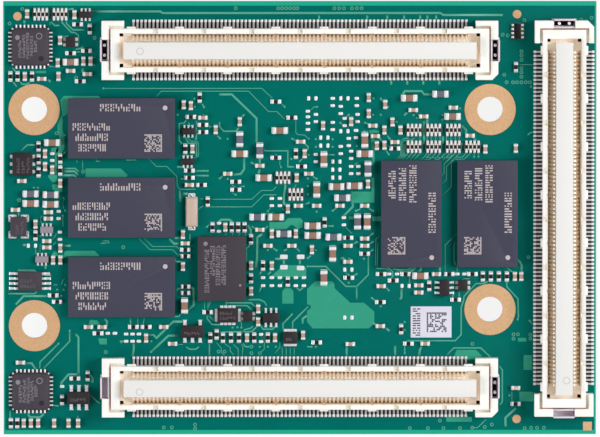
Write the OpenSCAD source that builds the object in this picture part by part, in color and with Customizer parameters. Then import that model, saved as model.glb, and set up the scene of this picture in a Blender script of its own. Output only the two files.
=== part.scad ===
// System on module: a board with three mezzanine connectors on one face and its processor on the other.
// It lies on the processor's lid, with the connectors up. +X runs along the paired connectors.
// The outline follows from what the board carries: each zone's parts are placed from the pieces beside them.

/* [Board] */
// Thickness of the board
board_t = 1.7; // [1:0.1:3]
// Strip between the left edge and the lying memories
left_strip = 8.1; // [8:0.1:14]
// Width of the field between the two sets of memories
field_w = 25.75; // [25.7:0.05:40]
// Least reach of that field above and below the middle line
field_reach = 17.1; // [17:0.1:24]
// Gap from the standing memories to the tails of the cross connector
right_gap = 2.1; // [1.5:0.1:6]
// Gap from the tails of the cross connector to the right edge
right_margin = 0.35; // [0.1:0.01:3]
// Gap from the lying memories to the tails of the top connector
top_gap = 2.3; // [2:0.1:6]
// Gap from the lying memories to the tails of the bottom connector
bottom_gap = 5.1; // [4.5:0.1:9]
// Gap from the tails of the paired connectors to the edges
long_margin = 2.25; // [2:0.01:6]
// Gap from the ends of the cross connector to the edges
cross_margin = 2.2; // [1:0.1:6]
// Gap from the paired connectors' ends to the tails of the cross connector
pair_gap = 4.2; // [4:0.1:9]

/* [Mounting holes] */
// Clear diameter of a mounting hole
hole_d = 3.2; // [2:0.1:3.6]
// Diameter of the gold ring round a hole
ring_d = 6.4; // [5:0.1:7]
// Thickness of the gold ring
ring_t = 0.06; // [0.03:0.01:0.2]
// Wall of the plated barrel
barrel_t = 0.03; // [0.02:0.01:0.3]
// Left holes, from the left edge
left_hole_x = 3.85; // [3.6:0.05:4.5]
// Right holes, from the left side of the standing memories
right_hole_x = 13.6; // [13.5:0.05:14]
// Top holes, from the tails of the top connector
top_hole_y = 3.75; // [3.5:0.05:4]
// Left bottom hole, from the tails of the bottom connector
left_low_hole_y = 3.95; // [3.9:0.05:4.4]
// Right bottom hole, from the tails of the bottom connector
right_low_hole_y = 5.95; // [5.9:0.05:6.2]

/* [Mezzanine connectors] */
// Contacts in each of the two rows
pins_per_row = 84; // [36:12:96]
// Distance from contact to contact
pin_pitch = 0.5; // [0.45:0.01:0.6]
// Contacts behind one ground plate
pins_per_plate = 12; // [6:6:24]
// Width of a contact
contact_w = 0.24; // [0.15:0.01:0.3]
// Thickness of a contact
contact_t = 0.13; // [0.08:0.01:0.16]
// Reach of a contact's tail past the housing
tail_reach = 1; // [0.6:0.01:1.6]
// Width of the centre island
island_w = 2.1; // [1.6:0.1:3]
// Height of the centre island over the board
island_h = 3.8; // [3:0.1:6]
// Width of the channel on each side of the island
channel_w = 1.1; // [1:0.05:1.6]
// Thickness of a side wall
wall_t = 0.55; // [0.4:0.05:1]
// Height of the walls over the board
wall_h = 2.8; // [2.2:0.1:5]
// Height of the housing's floor over the board
floor_z = 0.3; // [0.2:0.05:0.6]
// Thickness of the housing's floor
floor_t = 0.6; // [0.4:0.05:1]
// Last contact to the end of the cavity
end_run = 1.72; // [1.4:0.01:3]
// Gap between the island's end and the end wall
end_gap = 0.5; // [0.3:0.05:1]
// Thickness of an end wall
end_wall = 1.1; // [0.8:0.05:2]
// Groove between an end wall and the rim of its ear
groove_w = 0.2; // [0.1:0.05:0.5]
// Rim of an ear beyond the groove
ear_rim = 0.93; // [0.7:0.01:1.5]
// Length of an ear
ear_l = 2.8; // [2.5:0.1:3.2]
// Width of an ear
ear_w = 7.35; // [6.8:0.05:8.4]
// Thickness of an ear's arm
ear_arm = 0.6; // [0.3:0.05:0.7]
// Height of an ear's rim over the board
ear_h = 2.5; // [1.6:0.1:4]
// Chamfer on the ear that marks the first contact
ear_chamfer = 0.75; // [0.2:0.05:1.2]
// Width of a metal hold-down
hold_w = 2.6; // [1.6:0.1:3.6]
// Thickness of a hold-down's sheet
hold_t = 0.2; // [0.1:0.05:0.3]

/* [Memories] */
// Length of a memory package
mem_l = 13.3; // [11:0.1:15]
// Width of a memory package
mem_w = 7.5; // [7:0.1:9]
// Thickness of a memory package
mem_t = 0.85; // [0.5:0.05:1.2]
// Distance from ball to ball
mem_ball_pitch = 0.8; // [0.65:0.05:0.82]
// Gap between the lying memories
mem_row_gap = 2.4; // [1.5:0.1:5]
// Gap between the standing memories
mem_side_gap = 2; // [1:0.1:5]
// Height of the middle lying memory over the middle line
mem_row_y = 1.2; // [-2:0.1:2]
// Height of the standing memories over the middle line
mem_set_y = 0.4; // [-1:0.1:1]

/* [Other packages] */
// Diameter of a solder ball
ball_d = 0.42; // [0.3:0.01:0.45]
// Height of a solder ball
ball_h = 0.25; // [0.15:0.01:0.4]
// Length of the boot flash
flash_l = 8; // [6:0.1:8.2]
// Width of the boot flash
flash_w = 6; // [5:0.1:6.2]
// Thickness of the boot flash
flash_t = 0.95; // [0.6:0.05:1.3]
// Side of a network chip
phy_size = 4.7; // [4:0.1:5.2]
// Thickness of a network chip
phy_t = 0.85; // [0.5:0.05:1.2]
// Reach of its lands past the body
phy_land_out = 0.45; // [0.2:0.05:0.6]
// Lands along each side
phy_lands = 8; // [4:1:8]
// Distance from land to land
phy_pitch = 0.5; // [0.4:0.05:0.55]
// Network chips' lands to the left edge
phy_edge = 0.6; // [0.5:0.05:2]
// Top network chip's lands to the top edge
phy_top_edge = 2.85; // [2.8:0.05:3.2]
// Bottom network chip's lands to the bottom edge
phy_low_edge = 2.6; // [2.2:0.1:2.8]
// Width of the field between the network chips and the paired connectors
phy_field = 6.1; // [6:0.1:9]
// Length of the crystal
crystal_l = 3.7; // [3:0.1:4]
// Width of the crystal
crystal_w = 1.5; // [1.2:0.1:1.7]
// Width of the sticker
sticker_w = 5.1; // [3:0.1:5.2]
// Height of the sticker
sticker_h = 3.9; // [2:0.1:4.2]

/* [Chip parts] */
// Length of a small chip part
small_l = 1.05; // [0.8:0.05:1.2]
// Width of a small chip part
small_w = 0.52; // [0.3:0.01:0.6]
// Height of a small capacitor
small_cap_h = 0.5; // [0.3:0.05:0.8]
// Height of a small resistor
resistor_h = 0.35; // [0.2:0.05:0.5]
// Length of the metal ends of a small chip part
small_end = 0.27; // [0.15:0.01:0.4]
// Length of a large chip part
large_l = 1.75; // [1.4:0.05:2]
// Width of a large chip part
large_w = 0.85; // [0.6:0.05:0.95]
// Height of a large chip part
large_h = 0.8; // [0.4:0.05:1.2]
// Length of the metal ends of a large chip part
large_end = 0.42; // [0.2:0.01:0.6]
// Length of a resistor network
network_l = 2; // [1.6:0.1:2.2]
// Width of a resistor network
network_w = 0.9; // [0.6:0.05:1]
// Height of a resistor network
network_h = 0.45; // [0.3:0.05:0.6]

/* [Processor side] */
// Side of the processor's substrate
soc_size = 31; // [27:0.5:33]
// Thickness of the substrate
soc_substrate_t = 1.2; // [0.8:0.1:2]
// Side of the raised part of the lid
soc_lid_top = 24; // [18:0.5:26]
// Side of the lid's flange
soc_lid_flange = 29; // [26.5:0.5:31]
// Thickness of the lid's flange
soc_flange_t = 0.6; // [0.3:0.1:1]
// Height of the raised part over the flange
soc_raise = 1.15; // [0.5:0.05:2]
// Distance from ball to ball
soc_ball_pitch = 1; // [0.95:0.01:1.05]
// Balls along each side
soc_balls_side = 30; // [20:2:30]
// Height of a processor ball
soc_ball_h = 0.45; // [0.3:0.05:0.6]
// Side of a power inductor
inductor_size = 4.2; // [3:0.1:4.3]
// Height of a power inductor
inductor_h = 2.4; // [1:0.1:2.6]

/* [Hidden] */
$fn = 32;

// Connector sizes that follow from the above
row_l = (pins_per_row - 1) * pin_pitch;
plate_pitch = pins_per_plate * pin_pitch;
plates_per_row = floor(pins_per_row / pins_per_plate);
cavity_l = row_l + 2 * end_run;
cavity_w = island_w + 2 * channel_w;
island_l = cavity_l - 2 * end_gap;
conn_body_l = cavity_l + 2 * end_wall;
conn_body_w = cavity_w + 2 * wall_t;
conn_l = conn_body_l + 2 * (groove_w + ear_rim);
tail_y = conn_body_w / 2 + tail_reach;
conn_span = 2 * tail_y;
floor_top = floor_z + floor_t;
// Ledge of the floor that carries the ground plates, slot that the contacts rise through, room beside them
plate_t = 0.1;
ledge_w = plate_t + 0.03;
slot_w = contact_t + 0.19;
riser_y = cavity_w / 2 - ledge_w - slot_w / 2;
slot_side = 0.04;
// Tips of the contacts: gap to the island, turned out at the top, just under the walls
tip_gap = 0.06;
tip_drop = 0.3;
tip_turn = 0.14;
// Notch in a wall for the tab of a ground plate
tab_w = 0.5;
notch_w = tab_w + 0.1;
notch_d = 0.35;
plate_end_gap = 0.15;
plate_drop = 0.12;
// Small blocks on the outside of the walls
block_l = 1.1;
block_t = 0.25;
block_h = 0.5;
block_drop = 0.7;
corner_hole = 0.45;
hold_room = 0.05;
hold_foot = 0.2;
hold_flange = 0.25;
hold_drop = 0.3;
hold_lip = 0.1;

// Plan, measured from the left edge and from the middle line
phy_ring = phy_size + 2 * phy_land_out;
pair_left = phy_edge + phy_ring + phy_field;
mem_left = left_strip;
mem_right = left_strip + mem_l;
set_left = mem_right + field_w;
set_right = set_left + 2 * mem_w + mem_side_gap;
cross_left = max(set_right + right_gap, pair_left + conn_l + pair_gap);
board_w = cross_left + conn_span + right_margin;
mem_pitch = mem_w + mem_row_gap;
mem_top = mem_row_y + mem_pitch + mem_w / 2;
mem_low = mem_row_y - mem_pitch - mem_w / 2;
set_top = mem_set_y + mem_l / 2;
set_low = mem_set_y - mem_l / 2;
top_tails = max(mem_top + top_gap, field_reach);
low_tails = min(mem_low - bottom_gap, -field_reach);
board_top = max(top_tails + conn_span + long_margin, conn_l / 2 + cross_margin);
board_low = min(low_tails - conn_span - long_margin, -conn_l / 2 - cross_margin);
board_d = board_top - board_low;
board_y = (board_top + board_low) / 2;

// Heights: the lid's face is at zero
soc_h = soc_ball_h + soc_substrate_t + soc_flange_t + soc_raise;
rear_z = soc_h;
face_z = rear_z + board_t;
land_t = 0.05;
solder_t = 0.03;

// Connectors: place on the plan and turn
CONNECTORS = [
  [pair_left + conn_l / 2, top_tails + tail_y, 0],
  [pair_left + conn_l / 2, low_tails - tail_y, 0],
  [cross_left + tail_y, board_y, 90]
];

// Mounting holes
HOLES = [
  [left_hole_x, top_tails - top_hole_y],
  [set_left + right_hole_x, top_tails - top_hole_y],
  [left_hole_x, low_tails + left_low_hole_y],
  [set_left + right_hole_x, low_tails + right_low_hole_y]
];

// Memories: three lying, two standing, two lying on the processor side
LYING_X = mem_left + mem_l / 2;
MEMORIES = [
  [LYING_X, mem_row_y + mem_pitch, 0],
  [LYING_X, mem_row_y, 0],
  [LYING_X, mem_row_y - mem_pitch, 0],
  [set_left + mem_w / 2, mem_set_y, -90],
  [set_left + 1.5 * mem_w + mem_side_gap, mem_set_y, -90]
];
REAR_MEMORIES = [
  [LYING_X, mem_row_y + mem_pitch / 2, 0],
  [LYING_X, mem_row_y - mem_pitch / 2, 0]
];
mem_ball_rows = 16;
MEM_BALL_COLUMNS = [-4, -3, -2, 2, 3, 4];
mark_r = 0.29;
mark_depth = 0.05;
mark_in = [1.15, 1.25];

// Zones: each is the point that its parts are measured from
phy_right = phy_edge + phy_ring;
ZONES = [
  ["strip", [0, 0]],
  ["phy_top", [phy_right, board_top - phy_top_edge]],
  ["phy_under", [phy_right, board_top - phy_top_edge - phy_ring]],
  ["phy_low", [phy_right, board_low + phy_low_edge + phy_ring]],
  ["phy_edge", [phy_right, board_low + phy_low_edge]],
  ["row", [mem_left, mem_low]],
  ["field", [mem_right, 0]],
  ["set_top", [set_left, set_top]],
  ["set_low", [set_left, set_low]],
  ["post", [set_left + right_hole_x, 0]]
];
function zone(name) = ZONES[search([name], ZONES)[0]][1];

// Parts of each zone: kind, turn, x, y. "c" and "r" are small capacitors and resistors, "C" and "B" are large
// capacitors and beads, "n" is a resistor network, "l" and "L" are bare lands, the rest are chips.
PARTS = [
  ["phy_top", [
    ["c", 90, -3.2, 1.3], ["n", 0, -1.5, 1.25], ["n", 0, 0.9, 1.25], ["c", 90, 2.7, 1.2],
    ["six", 0, 4.1, 1.2], ["r", 0, 3.1, 0], ["r", 90, 4.6, -0.6], ["dot", 0, 2.2, -2.2],
    ["c", 90, 0.9, -2], ["r", 0, 2.2, -3.6], ["r", 0, 4.2, -3.3], ["C", 0, 2.2, -4.7],
    ["c", 90, 3.8, -4.6], ["c", 90, 4.7, -4.6], ["c", 90, 0.6, -4.8]
  ]],
  ["phy_under", [
    ["c", 0, 2.2, -0.2], ["c", 90, 0.7, -0.9], ["c", 0, 4.3, -0.6], ["c", 90, -3.5, -0.9],
    ["c", 0, -1.4, -1.2], ["r", 0, 3.4, -1.5], ["r", 90, -5.3, -0.9], ["r", 90, -4.4, -0.9],
    ["r", 90, -2.6, -0.9]
  ]],
  ["strip", [
    ["C", 0, 6.1, 9.3], ["c", 90, 5.2, 7.9], ["c", 90, 5.2, 6.3], ["c", 90, 6.1, 5.9],
    ["c", 90, 7.1, 4.2], ["r", 90, 4.4, 8.8], ["r", 90, 4.4, 7.2], ["r", 90, 4.4, 5.6],
    ["r", 90, 7.1, 7.3], ["r", 90, 7.1, 5.8], ["dfn", 0, 2.4, 6.6], ["c", 0, 2.3, 4.5],
    ["B", 0, 3.4, 2.9], ["B", 0, 5.9, 2.8], ["C", 0, 3.4, 1.7], ["C", 0, 5.9, 1.6], ["c", 0, 1.5, 0.9],
    ["c", 0, 5.6, 0.6], ["c", 0, 5.6, -0.2], ["clock", 0, 1.9, -1.2], ["c", 90, 4, -0.9],
    ["r", 90, 4, -2.3], ["six", 0, 5.4, -1.6], ["c", 0, 5.4, -3], ["c", 0, 5.4, -3.8],
    ["six", 0, 4.8, -5.3], ["c", 90, 7.1, -3.9], ["c", 90, 6.2, -5.4], ["c", 90, 7.1, -5.4],
    ["eight", 0, 3.3, -8], ["r", 0, 6.2, -9.8], ["r", 0, 6.7, -10.6], ["l", 0, 6.1, 7.9],
    ["l", 0, 6.1, 7.05], ["l", 0, 6.9, 0.7], ["l", 0, 6.9, -0.2], ["l", 90, 3.1, -3.6],
    ["l", 90, 4, -3.6], ["l", 0, 7.05, -1.9], ["l", 0, 7.05, -2.8]
  ]],
  ["phy_low", [
    ["c", 0, -4.1, 0.8], ["r", 0, 2.7, -1.2], ["r", 90, 4.3, -0.9], ["r", 90, 1.1, -3.9],
    ["five6", 0, 3.2, -3.6], ["l", 0, 1.1, -2.2]
  ]],
  ["phy_edge", [
    ["r", 90, -5.3, -1.2], ["r", 90, -4.5, -1.2], ["c", 90, -3.7, -1.2], ["c", 90, -2.8, -1.2],
    ["c", 90, -1.9, -1.2], ["c", 90, 0.1, -1.2], ["c", 90, 1.9, -1.2], ["c", 90, 3.1, -1.2]
  ]],
  ["row", [
    ["c", 0, 2.5, -1.3], ["c", 0, 4.2, -1.3], ["r", 0, 3.7, -2.1], ["r", 0, 8.1, -1.3],
    ["r", 0, 9.7, -1.3], ["c", 0, 11.9, -1.3], ["c", 90, 9.7, -2.7], ["c", 0, 13, -3.4],
    ["l", 0, 4.9, -2.1], ["l", 0, 5.8, -2.1], ["l", 0, 7.2, -2.2], ["l", 0, 8, -2.2],
    ["l", 0, 8.8, -2.2], ["l", 0, 7.2, -3.1], ["l", 0, 8, -3.1], ["l", 0, 8.8, -3.1]
  ]],
  ["field", [
    ["c", 90, 1.1, 14], ["c", 90, 2, 13.9], ["r", 90, 3.1, 14.9], ["r", 0, 2, 12.5],
    ["c", 0, 3.5, 12.4], ["r", 0, 3.5, 11.5], ["r", 0, 3.5, 10.6], ["six", 0, 1.7, 10.7],
    ["c", 90, 5.1, 10.9], ["r", 90, 1.3, 8.5], ["c", 90, 2.2, 8.5], ["six", 0, 1.6, 6.9],
    ["r", 0, 1.8, 5.8], ["r", 0, 1.8, 4.9], ["c", 0, 1.8, 4], ["r", 0, 3.3, 4],
    ["crystal", 0, 2.1, 0.65], ["r", 90, 4.1, 1.9], ["c", 90, 8.1, 11.9], ["B", 90, 8.1, 9.7],
    ["C", 0, 8.1, 7.9], ["c", 0, 6.6, 5.4], ["r", 0, 7.6, 4.4], ["r", 0, 7.6, 3.4],
    ["B", 90, 10.6, 8.3], ["c", 0, 10.6, 6.4], ["C", 0, 11.1, 4.9], ["r", 0, 12.6, 7.4],
    ["n", 0, 13.5, 4.9], ["C", 0, 13.1, 10.8], ["r", 0, 12.6, 14.4], ["r", 0, 14.6, 12.4],
    ["c", 0, 15.7, 9.4], ["r", 90, 15.1, 7.9], ["c", 90, 16.2, 7.9], ["r", 0, 15.8, 6.3],
    ["c", 90, 15.2, 4.9], ["c", 0, 16.7, 5.4], ["n", 0, 15.1, 2.8], ["c", 0, 15.4, 1.4],
    ["c", 90, 14.1, 1], ["c", 90, 18.5, 11.4], ["c", 90, 22, 11.9], ["c", 90, 24.2, 14.9],
    ["c", 90, 24.2, 12.9], ["c", 0, 24.7, 11.4], ["c", 0, 25, 10.1], ["C", 90, 23.7, 9.6],
    ["c", 90, 25.2, 8.9], ["C", 0, 23.7, 7.9], ["C", 90, 18.6, 7.2], ["B", 90, 24.1, 6],
    ["c", 90, 24.1, 4.1], ["C", 0, 22.4, 3.9], ["C", 0, 20.2, 3.8], ["C", 90, 17.7, 3.4],
    ["B", 0, 20.9, 2.4], ["c", 0, 17.7, 1.4], ["c", 0, 20.6, 1.4], ["c", 0, 23.7, 1.4],
    ["B", 0, 10.3, 0], ["C", 0, 12.6, 0], ["B", 90, 22.8, -0.6], ["C", 90, 24, -0.6],
    ["r", 90, 18.7, -0.7], ["C", 0, 17.2, -1.1], ["C", 0, 17.2, -2.3], ["B", 0, 19.8, -2.5],
    ["r", 90, 4.7, -1.3], ["c", 90, 6.3, -1.3], ["r", 90, 7.1, -1.3], ["r", 90, 7.9, -1.3],
    ["r", 90, 8.7, -1.3], ["c", 90, 1, -2.2], ["c", 0, 1.3, -3.3], ["r", 0, 1.3, -4.1],
    ["r", 0, 1.3, -4.9], ["c", 90, 1, -6.2], ["r", 0, 1.3, -8.7], ["r", 0, 1.3, -9.5],
    ["C", 90, 1.2, -11.1], ["r", 90, 9.5, -2.8], ["c", 90, 9.5, -6.1], ["r", 90, 9.5, -7.7],
    ["c", 90, 9.5, -9.3], ["c", 0, 10.6, -1.6], ["c", 90, 12.1, -2.1], ["B", 0, 13.6, -2.1],
    ["c", 90, 15.1, -2.1], ["c", 0, 11.6, -3.6], ["c", 0, 14.6, -3.6], ["r", 90, 11, -6.1],
    ["c", 90, 12.1, -6.1], ["r", 90, 14.1, -8.1], ["c", 90, 17.1, -4.1], ["C", 90, 19.7, -4.6],
    ["C", 90, 18.6, -7.6], ["r", 0, 21.6, -2.6], ["c", 0, 21.6, -3.6], ["c", 0, 23.7, -2.7],
    ["c", 0, 23.7, -3.6], ["r", 0, 23.7, -4.6], ["c", 0, 21.6, -5.6], ["r", 0, 21.7, -7.6],
    ["r", 0, 4.1, -11.9], ["qfn", 0, 6.6, -12.3], ["dot", 0, 9.1, -12.4], ["c", 90, 10.4, -11.5],
    ["c", 90, 10.4, -13.1], ["sc", 0, 12, -12.6], ["five", 0, 2.2, -14.3], ["r", 90, 4.4, -15.1],
    ["r", 90, 5.2, -14.7], ["r", 90, 6, -15.1], ["r", 90, 7, -15.1], ["r", 90, 8, -15.1],
    ["c", 90, 9, -15.1], ["r", 90, 9.9, -15.1], ["r", 90, 11.6, -15.1], ["c", 90, 12.5, -15.1],
    ["quad", 0, 14.4, -15.1], ["c", 90, 16, -14.8], ["r", 0, 17.7, -15.7], ["c", 0, 21.9, -15.9],
    ["l", 90, 16.7, 14.8], ["l", 90, 17.6, 14.8], ["l", 90, 20.7, 14.8], ["l", 90, 21.6, 14.8],
    ["l", 0, 19.7, 14.8], ["l", 0, 19.7, 13.9], ["l", 0, 22.7, 14.8], ["l", 0, 22.7, 13.9],
    ["l", 0, 20.7, 13.8], ["l", 0, 20.7, 12.9], ["l", 0, 16.6, 13.2], ["l", 0, 16.6, 12.5],
    ["l", 0, 16.6, 11.7], ["l", 0, 16.6, 10.9], ["l", 0, 17.6, 12.8], ["l", 0, 17.6, 11.9],
    ["l", 0, 19.7, 11.8], ["l", 0, 19.7, 10.9], ["l", 0, 21.2, 12.3], ["l", 0, 21.2, 11.4],
    ["l", 0, 22.8, 12.8], ["l", 0, 22.8, 11.9], ["l", 90, 20.7, 10.7], ["l", 90, 21.6, 10.7],
    ["l", 0, 22.6, 10.8], ["l", 0, 22.6, 9.9], ["l", 90, 18.2, 9.9], ["l", 90, 19.1, 9.9],
    ["l", 90, 18.2, 8.9], ["l", 90, 19.1, 8.9], ["l", 0, 21.7, 9.8], ["l", 0, 21.7, 8.9],
    ["l", 0, 20.7, 8.8], ["l", 0, 20.7, 7.9], ["l", 0, 22, 8.2], ["l", 0, 22, 7.3], ["l", 0, 17.6, 7.8],
    ["l", 0, 17.6, 6.9], ["l", 90, 19.7, 6.9], ["l", 90, 20.6, 6.9], ["l", 90, 19.7, 5.9],
    ["l", 90, 20.6, 5.9], ["l", 90, 19.7, 4.9], ["l", 90, 20.6, 4.9], ["l", 0, 22, 6.3],
    ["l", 0, 22.9, 6.3], ["l", 0, 22, 5.4], ["l", 0, 22.9, 5.4], ["l", 0, 12.1, 2.3],
    ["l", 0, 13.1, 2.3], ["l", 0, 12.1, 1.4], ["l", 0, 13.1, 1.4], ["l", 0, 5.5, -0.8],
    ["l", 0, 5.5, -1.8], ["L", 0, 13.6, -5], ["L", 0, 13.6, -6.3], ["L", 0, 15.7, -5],
    ["L", 0, 15.7, -6.4], ["l", 0, 11, -7.6], ["l", 0, 12.1, -7.6], ["l", 0, 13.1, -7.6],
    ["l", 0, 15.1, -7.6], ["l", 0, 16.1, -7.6], ["l", 0, 11, -8.6], ["l", 0, 12.1, -8.6],
    ["l", 0, 13.1, -8.6], ["l", 0, 15.1, -8.6], ["l", 0, 16.1, -8.6], ["l", 0, 21.1, -0.1],
    ["l", 0, 21.1, -1], ["l", 90, 21.2, -6.6], ["l", 90, 22.1, -6.6], ["l", 90, 21.2, -12.6],
    ["l", 90, 22.1, -12.6], ["l", 0, 10.75, -14.7], ["l", 0, 10.75, -15.6]
  ]],
  ["set_top", [
    ["c", 90, 0.5, 7], ["C", 0, 3.5, 7.8], ["B", 0, 7.4, 8.3], ["c", 0, 4, 6.3], ["c", 0, 5.3, 5.5],
    ["C", 0, 8.9, 5.5], ["c", 90, 1.4, 4.8], ["c", 90, 0.4, 3.8], ["c", 90, 2.4, 3.8],
    ["c", 90, 0.4, 1.9], ["c", 0, 1.7, 2.3], ["r", 0, 1.7, 1.5], ["c", 0, 11.1, 3.1],
    ["c", 90, 13, 1.4], ["c", 90, 16.8, 1.5],
    for (x = [4.1, 6.55, 9]) ["n", 0, x, 3.8],
    for (x = [4.1, 6.55, 9, 11.4]) ["n", 0, x, 1.7]
  ]],
  ["set_low", [
    ["r", 0, 0, -0.9], ["c", 0, 0, -2.4], ["r", 0, 1.5, -1.7], ["r", 0, 3.05, -0.9],
    ["C", 0, 4.9, -1.1], ["c", 0, 6.9, -0.9], ["r", 0, 8.5, -0.9], ["c", 0, 4.7, -2.3],
    ["c", 0, 4.7, -3.2], ["r", 90, 6, -2.4], ["sc", 90, 7.9, -2.6], ["dot", 0, 10.2, -2.3],
    ["r", 0, 11.4, -0.9], ["r", 0, 9.3, -4.1], ["r", 0, -0.1, -4.4], ["c", 0, -0.1, -7.4],
    ["r", 90, 2.5, -7.8], ["r", 0, 3.4, -9.6], ["c", 0, 5.5, -9.6],
    for (x = [12.7 : 1 : 15.7]) ["r", 90, x, -1.2],
    ["c", 90, 16.7, -1.2], ["c", 90, 17.5, -1.2], ["l", 0, 1, -0.9], ["l", 0, 2, -0.9],
    ["l", 90, 2.6, -2.4], ["l", 90, 3.5, -2.4], ["l", 0, 9.5, -0.9], ["l", 0, 10.4, -0.9]
  ]],
  ["post", [
    ["n", 90, 3.4, 23.2], ["r", 90, 3.2, 18.7], ["c", 0, 3.2, -21.4], ["r", 0, 3.2, -23.4]
  ]]
];

// Every part of the connector side with its place on the plan: kind, turn, x, y
ALL_PARTS = [
  for (group = PARTS) let (origin = zone(group[0])) for (p = group[1])
    [p[0], p[1], origin.x + p[2], origin.y + p[3]]
];
function of_kind(kind) = [for (p = ALL_PARTS) if (p[0] == kind) p];

// Chips with bent leads: body x, y and height, leads above, leads below, lead pitch, lead width, lead reach
OUTLINE_CHIPS = [
  ["six", [1.6, 0.8, 0.55], [-1, 0, 1], [-1, 0, 1], 0.5, 0.22, 0.28],
  ["sc", [2, 1.2, 0.9], [-1, 0, 1], [-1, 0, 1], 0.65, 0.26, 0.5],
  ["five", [2.8, 1.55, 1.05], [-1, 1], [-1, 0, 1], 0.95, 0.4, 0.55],
  ["five6", [2.8, 1.55, 1.05], [-1, 0, 1], [-1, 0, 1], 0.95, 0.4, 0.7],
  ["eight", [2.3, 3, 0.85], [-1.5, -0.5, 0.5, 1.5], [-1.5, -0.5, 0.5, 1.5], 0.62, 0.3, 1]
];
// Turn of an outline chip beyond that of its row: the eight-lead one has its leads left and right
function own_turn(kind) = kind == "eight" ? 90 : 0;
lead_t = 0.12;
// Share of a lead's reach that its slope begins and ends at
lead_heel = 0.45;
lead_knee = 0.3;

// Leadless chips: body x, y and height, lands above and below, their pitch, lands left and right, their pitch
LEADLESS_CHIPS = [
  ["dfn", [2.5, 2.9, 0.75], 0, 0, 3, 0.95],
  ["qfn", [2.6, 1.8, 0.55], 4, 0.5, 4, 0.4],
  ["dot", [1.2, 1.3, 0.5], 0, 0, 2, 0.65],
  ["quad", [1.7, 1.5, 0.55], 4, 0.4, 0, 0]
];
leadless_land = [0.22, 0.45];
leadless_out = 0.22;

// Oscillators: body, and feet that show past its corners
CLOCK = [2, 2.4, 0.8];
REAR_CLOCK = [3.2, 2.5, 0.9];
clock_foot = [0.7, 0.6];
clock_foot_out = 0.12;
rear_clock_y = 4.4;
REAR_CLOCKS = [for (x = [13, 20]) [pair_left + x, top_tails + rear_clock_y + REAR_CLOCK.y / 2, 0]];

// Processor side
soc_in = 19.1;
soc_y = 2.5;
SOC = [mem_right + soc_in, soc_y, 0];
soc_ball_d = 0.6;
soc_corner = 3;
rear_cap_gap = 1.3;
rear_cap_pitch = 2.6;
rear_caps_side = 10;
REAR_CAPS = [
  for (side = [-1, 1])
    for (i = [0 : rear_caps_side - 1])
      [
        SOC.x + (i - (rear_caps_side - 1) / 2) * rear_cap_pitch,
        SOC.y + side * (soc_size / 2 + rear_cap_gap),
        0
      ]
];
STORAGE_SIZE = [11.5, 13, 0.9];
storage_gap = 1.8;
STORAGE = [mem_left + 5.9, REAR_MEMORIES[1].y - mem_w / 2 - storage_gap - STORAGE_SIZE.y / 2, 0];
storage_ball_pitch = 0.75;
storage_balls_side = 14;
storage_ball_rows = 3;
inductor_pitch = inductor_size + 0.4;
inductors_in_row = 4;
inductor_end_t = 0.15;
inductor_end_w = 2.6;
INDUCTORS = [
  for (i = [0 : inductors_in_row - 1])
    [cross_left + 2.5, (i - (inductors_in_row - 1) / 2) * inductor_pitch, 0]
];
CONVERTER_SIZE = [2.8, 2.8, 0.9];
converter_gap = 1.4;
CONVERTERS = [for (p = INDUCTORS) [p.x - inductor_size / 2 - converter_gap - CONVERTER_SIZE.x / 2, p.y, 0]];
converter_lands_side = 5;
converter_pitch = 0.5;

// Other places on the plan
FLASH = zone("field") + [5.85, -6.4];
FIDUCIALS = [
  [1.8, board_top - 1.85],
  [cross_left - 2.15, board_top - 1.6],
  [cross_left - 2.15, board_low + 1.9]
];
fiducial_d = 1.07;
flash_balls_side = 5;
flash_ball_pitch = 1;
EDGE_PAD = [board_w - 1.05, board_low + 1];
edge_pad = 1.1;
STICKER = zone("set_low") + [6.25, -6.9];
sticker_t = 0.08;
PHYS = [
  [phy_edge + phy_ring / 2, board_top - phy_top_edge - phy_ring / 2, 0],
  [phy_edge + phy_ring / 2, board_low + phy_low_edge + phy_ring / 2, 0]
];
phy_corner = 0.35;
phy_base_t = 0.2;
phy_lip = 0.12;
phy_land_w = 0.28;
phy_land_in = 0.35;
BARE_LAND = [0.6, 0.42];
BIG_LAND = [1, 0.62];
crystal_base_t = 0.35;
crystal_lid_t = 0.4;
crystal_lid_in = 0.12;
crystal_terminal = [0.9, 0.45];
network_end = [0.3, 0.28];
network_pairs = 4;

// Colours
GREEN = "#04705f";
GOLD = "#deb280";
TIN = "#d9d9dc";
CREAM = "#faf6ee";
CONTACT = "#d8b890";
MOULD = "#4d4a5e";
BLACK = "#26202a";

// Moves children from the plan to the part's frame, on the connector face or hanging from the processor face
module on_face(place) {
  translate([place.x - board_w / 2, place.y - board_y, face_z]) children();
}
module on_rear(place) {
  translate([place.x - board_w / 2, place.y - board_y, rear_z]) mirror([0, 0, 1]) children();
}

// Box that is centred in plan and stands on z
module block(size, z = 0) {
  translate([-size.x / 2, -size.y / 2, z]) cube(size);
}

// Outline of a sheet of thickness t along a bent line
function unit(v) = v / norm(v);
function left_of(a, b) = let (d = unit(b - a)) [-d.y, d.x];
function mitre(path, i) =
  i == 0 ? left_of(path[0], path[1])
  : i == len(path) - 1 ? left_of(path[i - 1], path[i])
  : let (
      before = left_of(path[i - 1], path[i]),
      after = left_of(path[i], path[i + 1]),
      m = unit(before + after)
    )
    m / (m * before);
function sheet(path, t) = concat(
  [for (i = [0 : len(path) - 1]) path[i] + mitre(path, i) * t / 2],
  [for (i = [len(path) - 1 : -1 : 0]) path[i] - mitre(path, i) * t / 2]
);

// Bent strip: the line runs in Y and Z, the strip is w wide along X
module bent_strip(path, t, w) {
  rotate([90, 0, 90]) linear_extrude(w, center = true) polygon(sheet(path, t));
}

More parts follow.
